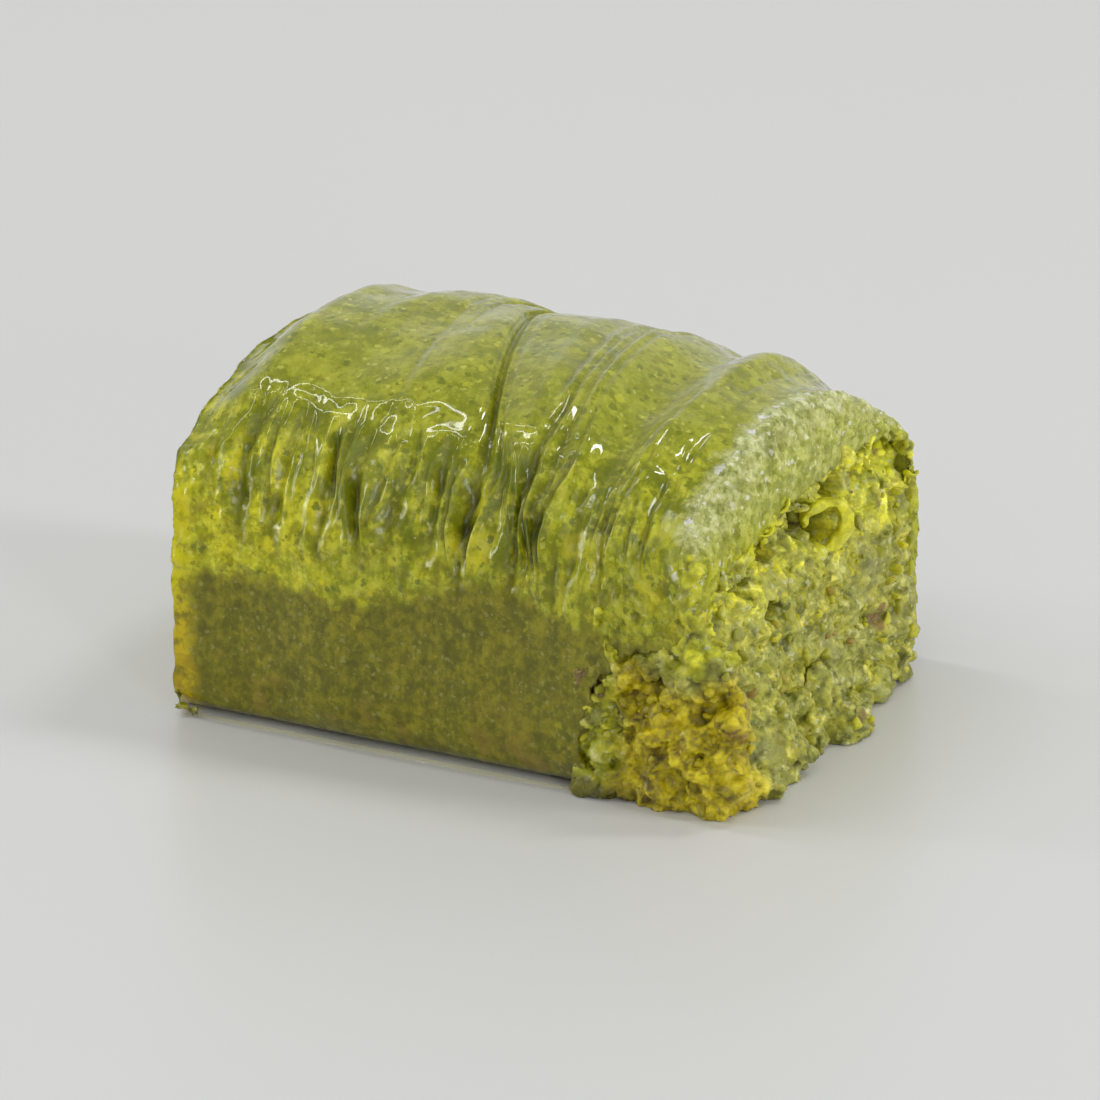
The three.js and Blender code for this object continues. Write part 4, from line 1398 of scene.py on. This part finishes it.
def golden_strip(n, at):
    """The golden edge at the left of the long side: its mask and its colour."""
    along = n.ragged(at.along, at.place, 0.0016, 0.003)
    strip = n.times(n.between(along, -0.0206, -0.0221), n.between(at.height, 0.0205, 0.0155))
    uneven = n.between(n.noise(at.place, 0.0011, 4.0, 0.65), 0.34, 0.56, 0.2, 0.95)
    gold = n.mix(n.between(at.height, 0.0120, 0.0070), rgb(0.66, 0.61, 0.001), rgb(0.62, 0.47, 0.003))
    gold = n.tinted(n.between(at.nuts, 0.6, 0.3, 0.0, 0.6), gold, rgb(0.55, 0.5, 1.0))
    return n.times(strip, uneven), gold


def cut_band(n, at):
    """The pale, crumbly band along the cut, with painted glints on it and painted shade in its gaps: its mask
    and its colour.
    """
    nut = at.bits["Tone"]
    low = n.between(n.maths("MULTIPLY_ADD", at.coarse, 0.004, at.height), 0.0245, 0.0215)
    rim = n.times(n.between(at.edge, 1.0, 0.4), n.between(at.edge, -1.35, -1.1))
    colour = n.laid(
        n.ramp(n.weighed(nut, 0.65, at.tone), BAND_TONES),
        (n.times(n.between(at.edge, -1.45, -1.95), 0.6), n.ramp(nut, INNER_BAND_TONES)),
        (low, n.ramp(nut, LOW_BAND_TONES)),
        # Painted glints: pale specks all over the band, and larger ones along its outer rim.
        (n.times(n.specks(at.place, 0.0006, 0.32), 0.75), rgb(0.97, 0.97, 0.76)),
        (n.times(rim, n.specks(at.place, 0.0013, 0.55)), rgb(1.0, 1.0, 0.92)),
    )
    at_edge = n.between(n.ragged(at.edge, at.place, 0.0013, 3.6, 0.65), 1.2, -0.2)
    right_end = n.between(n.axis(at.place, "X"), 0.0, 0.010)
    mask = n.times(at_edge, n.between(at.height, 0.0150, 0.0200), right_end)
    # Painted shade where the band's crumbs lie deep.
    return mask, n.with_hollow_shade(colour, n.times(at.deep, 0.7))


def dough_material():
    material, n, shader = new_material("syrup soaked dough")
    at = dough_spot(n)
    soaked = n.between(n.ragged(at.above, at.place, 0.0010, 1.2), 0.5, -0.8)
    on_band, band = cut_band(n, at)
    whole = n.laid(hanging_dough(n, at), (soaked, soaked_dough(n, at)), golden_strip(n, at), (on_band, band))
    colour = n.mix(at.film, n.ramp(at.bits["Tone"], TORN_TONES), whole)
    lines = n.noise(flow(n, at, 0.2), 0.0007, 3.0, 0.6)
    grain = n.times(at.bits["Grain"], n.maths("MULTIPLY_ADD", on_band, 2.5, 0.5))
    grain = n.maths("ADD", grain, n.times(lines, n.between(at.height, 0.0280, 0.0240, 0.25, 1.3)))
    below_crest = n.between(at.height, 0.0250, 0.0210)
    skin = n.times(at.bits["Grain"], n.maths("MULTIPLY_ADD", on_band, 9.0, n.times(below_crest, 0.4)))
    skin = n.maths("ADD", skin, n.times(lines, below_crest, 0.6))
    wet(n, shader, colour, (grain, 0.00012), (skin, 0.00006), 0.06, 0.12, 0.0007)
    return material


def golden_share(points):
    """Where the paste is golden: in and under the torn corner."""
    uneven = 2.5 * layered_noise(points, 3.5, 2, 83)
    x, y, z = points.T
    front = smooth((-12.5 - y + uneven) / 3)
    return front * smooth((12.5 - z + uneven) / 3) * smooth((x - 15.0 + uneven) / 3)


def fresh_share(points):
    """Where lumps are bright yellow-green: on the flank left of the torn corner, and up the frayed edge."""
    x, y, z = points.T
    uneven = layered_noise(points, 2.0, 2, 87)
    on_flank = smooth((-17.4 - y) / 0.5) * smooth((16.8 - x + uneven) / 1.5)
    on_edge = smooth((x - 20.2) / 1.2) * smooth((-15.6 - y) / 1.0) * smooth((z - 10.5 + uneven) / 1.5)
    return 0.9 * np.maximum(on_flank * smooth((uneven + 0.6) / 0.5), on_edge)


def painted_foot_shade(points):
    """Where painted shade darkens the foot of the torn corner, next to the floor."""
    x, y, z = points.T
    uneven = layered_noise(points, 1.6, 2, 89)
    low = 0.8 * smooth((2.3 - z + uneven) / 1.0)
    return low * smooth((18.8 - x + uneven) / 1.5) * smooth((x - 10) / 2) * (y < -14)


def green_paste(n, place, tone):
    """The paste of the cut: green, brighter and yellower towards the top, with painted sheen patches and
    painted glints.
    """
    high = n.between(n.axis(place, "Z"), 0.0110, 0.0160)
    high = n.times(high, n.between(n.noise(place, 0.0030), 0.30, 0.55))
    colour = n.tinted(high, n.ramp(tone, GREEN_PASTE_TONES), rgb(1.85, 1.82, 0.6))
    fresh = n.mix(0.6, n.tinted(1.0, colour, rgb(1.0, 1.0, 0.2)), rgb(0.46, 0.48, 0.02))
    colour = n.mix(n.mark("fresh"), colour, fresh)
    yellowish = n.between(n.noise(place, 0.0024, 4.0, 0.6), 0.48, 0.60, 0.0, 0.6)
    return n.laid(
        n.tinted(yellowish, colour, rgb(1.28, 1.18, 0.4)),
        # Painted sheen: pale grey patches where the wet paste would catch the light.
        (n.between(n.noise(place, 0.0042, 3.0, 0.5), 0.54, 0.62, 0.0, 0.5), rgb(0.38, 0.38, 0.12)),
        # Painted glints: fine pale specks.
        (n.times(n.specks(place, 0.0006, 0.3), 0.45), rgb(0.84, 0.85, 0.52)),
    )


def paste_material():
    material, n, shader = new_material("pistachio paste")
    place = n.place()
    bits = n.ground_nut(place, 0.0012)
    tone = n.weighed(bits["Tone"], 0.45, n.mark("tone"))
    colour = n.laid(
        green_paste(n, place, tone),
        (n.mark("golden"), n.ramp(tone, GOLDEN_PASTE_TONES)),
        (n.times(n.specks(place, 0.0034, 0.07), 0.7), rgb(0.24, 0.11, 0.045)),
    )
    # Painted shade in hollows and gaps, and at the foot of the torn corner.
    colour = n.with_hollow_shade(colour, n.mark("deep"))
    wet(n, shader, colour, (bits["Grain"], 0.00022), (bits["Grain"], 0.00014), 0.08, 0.15, 0.0006)
    return material


def crumb_material(name, green_tones, golden_tones):
    material, n, shader = new_material(name)
    chance = n.add("ShaderNodeNewGeometry").outputs["Random Per Island"]
    bits = n.ground_nut(n.place(), 0.0009)
    colour = n.laid(
        n.ramp(chance, green_tones),
        (n.mark("golden"), n.ramp(chance, golden_tones)),
        (n.between(bits["Tone"], 0.6, 0.3, 0.0, 0.4), rgb(0.30, 0.30, 0.01)),
    )
    wet(n, shader, colour, (bits["Grain"], 0.00012), (bits["Grain"], 0.00006), 0.07, 0.2, 0.0006)
    return material


def plain_material(name, numbers):
    material, _, shader = new_material(name)
    set_numbers(shader, numbers)
    return material


# ---------------------------------------------------------------- stage

def add_floor():
    mesh = bpy.data.meshes.new("floor")
    corners = [(x * FLOOR_HALF, y * FLOOR_HALF, 0) for x, y in ((-1, -1), (1, -1), (1, 1), (-1, 1))]
    mesh.from_pydata(corners, [], [(0, 1, 2, 3)])
    mesh.materials.append(plain_material("pale floor", FLOOR_NUMBERS))
    floor = bpy.data.objects.new("floor", mesh)
    bpy.context.scene.collection.objects.link(floor)


def add_softbox(name, direction, distance, width, height, radiance):
    """A softbox that looks at the piece, upright or, overhead, with its height along the roll."""
    light = bpy.data.lights.new(name, "AREA")
    light.shape = "RECTANGLE"
    light.size = width
    light.size_y = height
    light.energy = radiance * math.pi * width * height
    lamp = bpy.data.objects.new(name, light)
    way = Vector(direction).normalized()
    lamp.location = way * distance
    lamp.rotation_euler = way.to_track_quat("Z", "Y").to_euler()
    bpy.context.scene.collection.objects.link(lamp)


def add_room():
    """A bright room: light at the horizon and a little less overhead, with a soft glow on one side."""
    world = bpy.data.worlds.new("bright room")
    world.use_nodes = True
    n = Nodes(world.node_tree)
    way = n.add("ShaderNodeTexCoord").outputs["Generated"]
    sides = {0: way, 1: Vector(GLOW_WAY).normalized()}
    near_glow = n.add("ShaderNodeVectorMath", sides, operation="DOT_PRODUCT").outputs["Value"]
    glow = n.between(near_glow, 0.2, 1.0, 0.0, GLOW_LIGHT)
    even = n.between(n.axis(way, "Z"), 0.0, 0.7, HORIZON_LIGHT, ZENITH_LIGHT)
    backdrop = world.node_tree.nodes["Background"]
    backdrop.inputs["Color"].default_value = rgb(1.0, 1.0, 1.0)
    n.feed(backdrop.inputs["Strength"], n.maths("ADD", even, glow))
    bpy.context.scene.world = world


def add_camera():
    azimuth, elevation = math.radians(CAMERA_AZIMUTH), math.radians(CAMERA_ELEVATION)
    level = math.cos(elevation)
    back = Vector((math.sin(azimuth) * level, -math.cos(azimuth) * level, math.sin(elevation)))
    middle = Vector(((np.array([0, 0, AIM_HEIGHT]) + SHIFT) * MM).tolist())
    turn = back.to_track_quat("Z", "Y")
    camera = bpy.data.cameras.new("camera")
    camera.lens = LENS
    camera.sensor_width = SENSOR
    holder = bpy.data.objects.new("camera", camera)
    holder.location = middle + back * CAMERA_DISTANCE - turn @ Vector((0, AIM_BELOW * MM, 0))
    holder.rotation_euler = turn.to_euler()
    bpy.context.scene.collection.objects.link(holder)
    bpy.context.scene.camera = holder


# ---------------------------------------------------------------- the scene

SHIFT = shift_to_frame()
OWN_BOX = tuple(np.array(corner) / MM - SHIFT for corner in CAD_BOX)
GROUND_PISTACHIO = ground_pistachio_group()
PAINTED_HOLLOW_SHADE = hollow_shade_group()
SPECKS = specks_group()

dough = dough_material()
paste = paste_material()
crumbs = crumb_material("pistachio crumbs", GREEN_CRUMB_TONES, GOLDEN_CRUMB_TONES)
flake_skin = crumb_material("curled dough flakes", GREEN_FLAKE_TONES, GOLDEN_FLAKE_TONES)
clear_syrup = plain_material("clear syrup", SYRUP_NUMBERS)

points, faces, marks, right_lip = wrapper_shape()
wrapper = add_piece("dough_wrapper", above_floor(points), faces, dough, marks)
cut_away(wrapper, *crumbly_lump(np.array(TEAR_CENTRE), TEAR_RADII, TEAR_POWER, 6, 201))
points, faces, marks = filling_shape()
filling = add_piece("pistachio_filling", points, faces, paste, with_colours(points, marks))

draw = drawer(23)
spill = spill_clots(draw)
right_slumps = slump_clots(1, RIGHT_SLUMPS, draw)
left_slumps = slump_clots(-1, LEFT_SLUMPS, draw)
bed = {"centre": np.array(BED_CENTRE), "radii": np.array(BED_RADII)}
rng = np.random.default_rng(77)
lumps = [lump(bed["centre"], bed["radii"], BED_POWER, 5)]
lumps += [lump(c["centre"], c["radii"], CLOT_POWER, 4) for c in spill + right_slumps + left_slumps]
lumps.append(fused_crumbs([(spill, 12, OUT_OF_CORNER), (right_slumps, 10, OUT_OF_RIGHT)], rng))
lumps.append(frayed_lumps(right_lip, rng))
lumps.append(single_lumps())
points, faces, marks = spilled_shape(lumps, 401)
marks = with_colours(points, marks)
spilled = add_piece("spilled_filling", above_floor(points), faces, paste, marks)

face_places = np.concatenate(
    [
        face_crumb_places(1, FACE_CRUMBS[0], rng),
        face_crumb_places(-1, FACE_CRUMBS[1], rng),
        clot_crumb_places(right_slumps, 12, OUT_OF_RIGHT, rng),
        clot_crumb_places(left_slumps, 8, OUT_OF_LEFT, rng),
    ]
)
face_radii = crumb_radii(len(face_places), *CRUMB_RADII, rng, 2.6)
corner_places = np.concatenate(
    [clot_crumb_places(spill, 10, OUT_OF_CORNER, rng), clot_crumb_places([bed], 70, OUT_OF_BED, rng)]
)
corner_radii = crumb_radii(len(corner_places), *CRUMB_RADII, rng, 2.2)
loose = [
    add_crumbs("face_crumbs", face_places, face_radii, crumbs, 61),
    add_crumbs("corner_crumbs", corner_places, corner_radii, crumbs, 64),
]

points, faces = merged([curled_flake(), frayed_flakes(right_lip, rng)])
flakes = add_piece("dough_flakes", points, faces, flake_skin, with_colours(points, {}))
points, faces = syrup_film()
syrup = add_piece("syrup_film", np.clip(points, *OWN_BOX), faces, clear_syrup)

for piece in (wrapper, filling, spilled, *loose, flakes, syrup):
    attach(piece, "root")
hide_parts("wrapper")
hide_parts("filling")

add_floor()
for softbox in SOFTBOXES:
    add_softbox(*softbox)
add_room()
add_camera()
bpy.context.scene.view_settings.view_transform = "Standard"
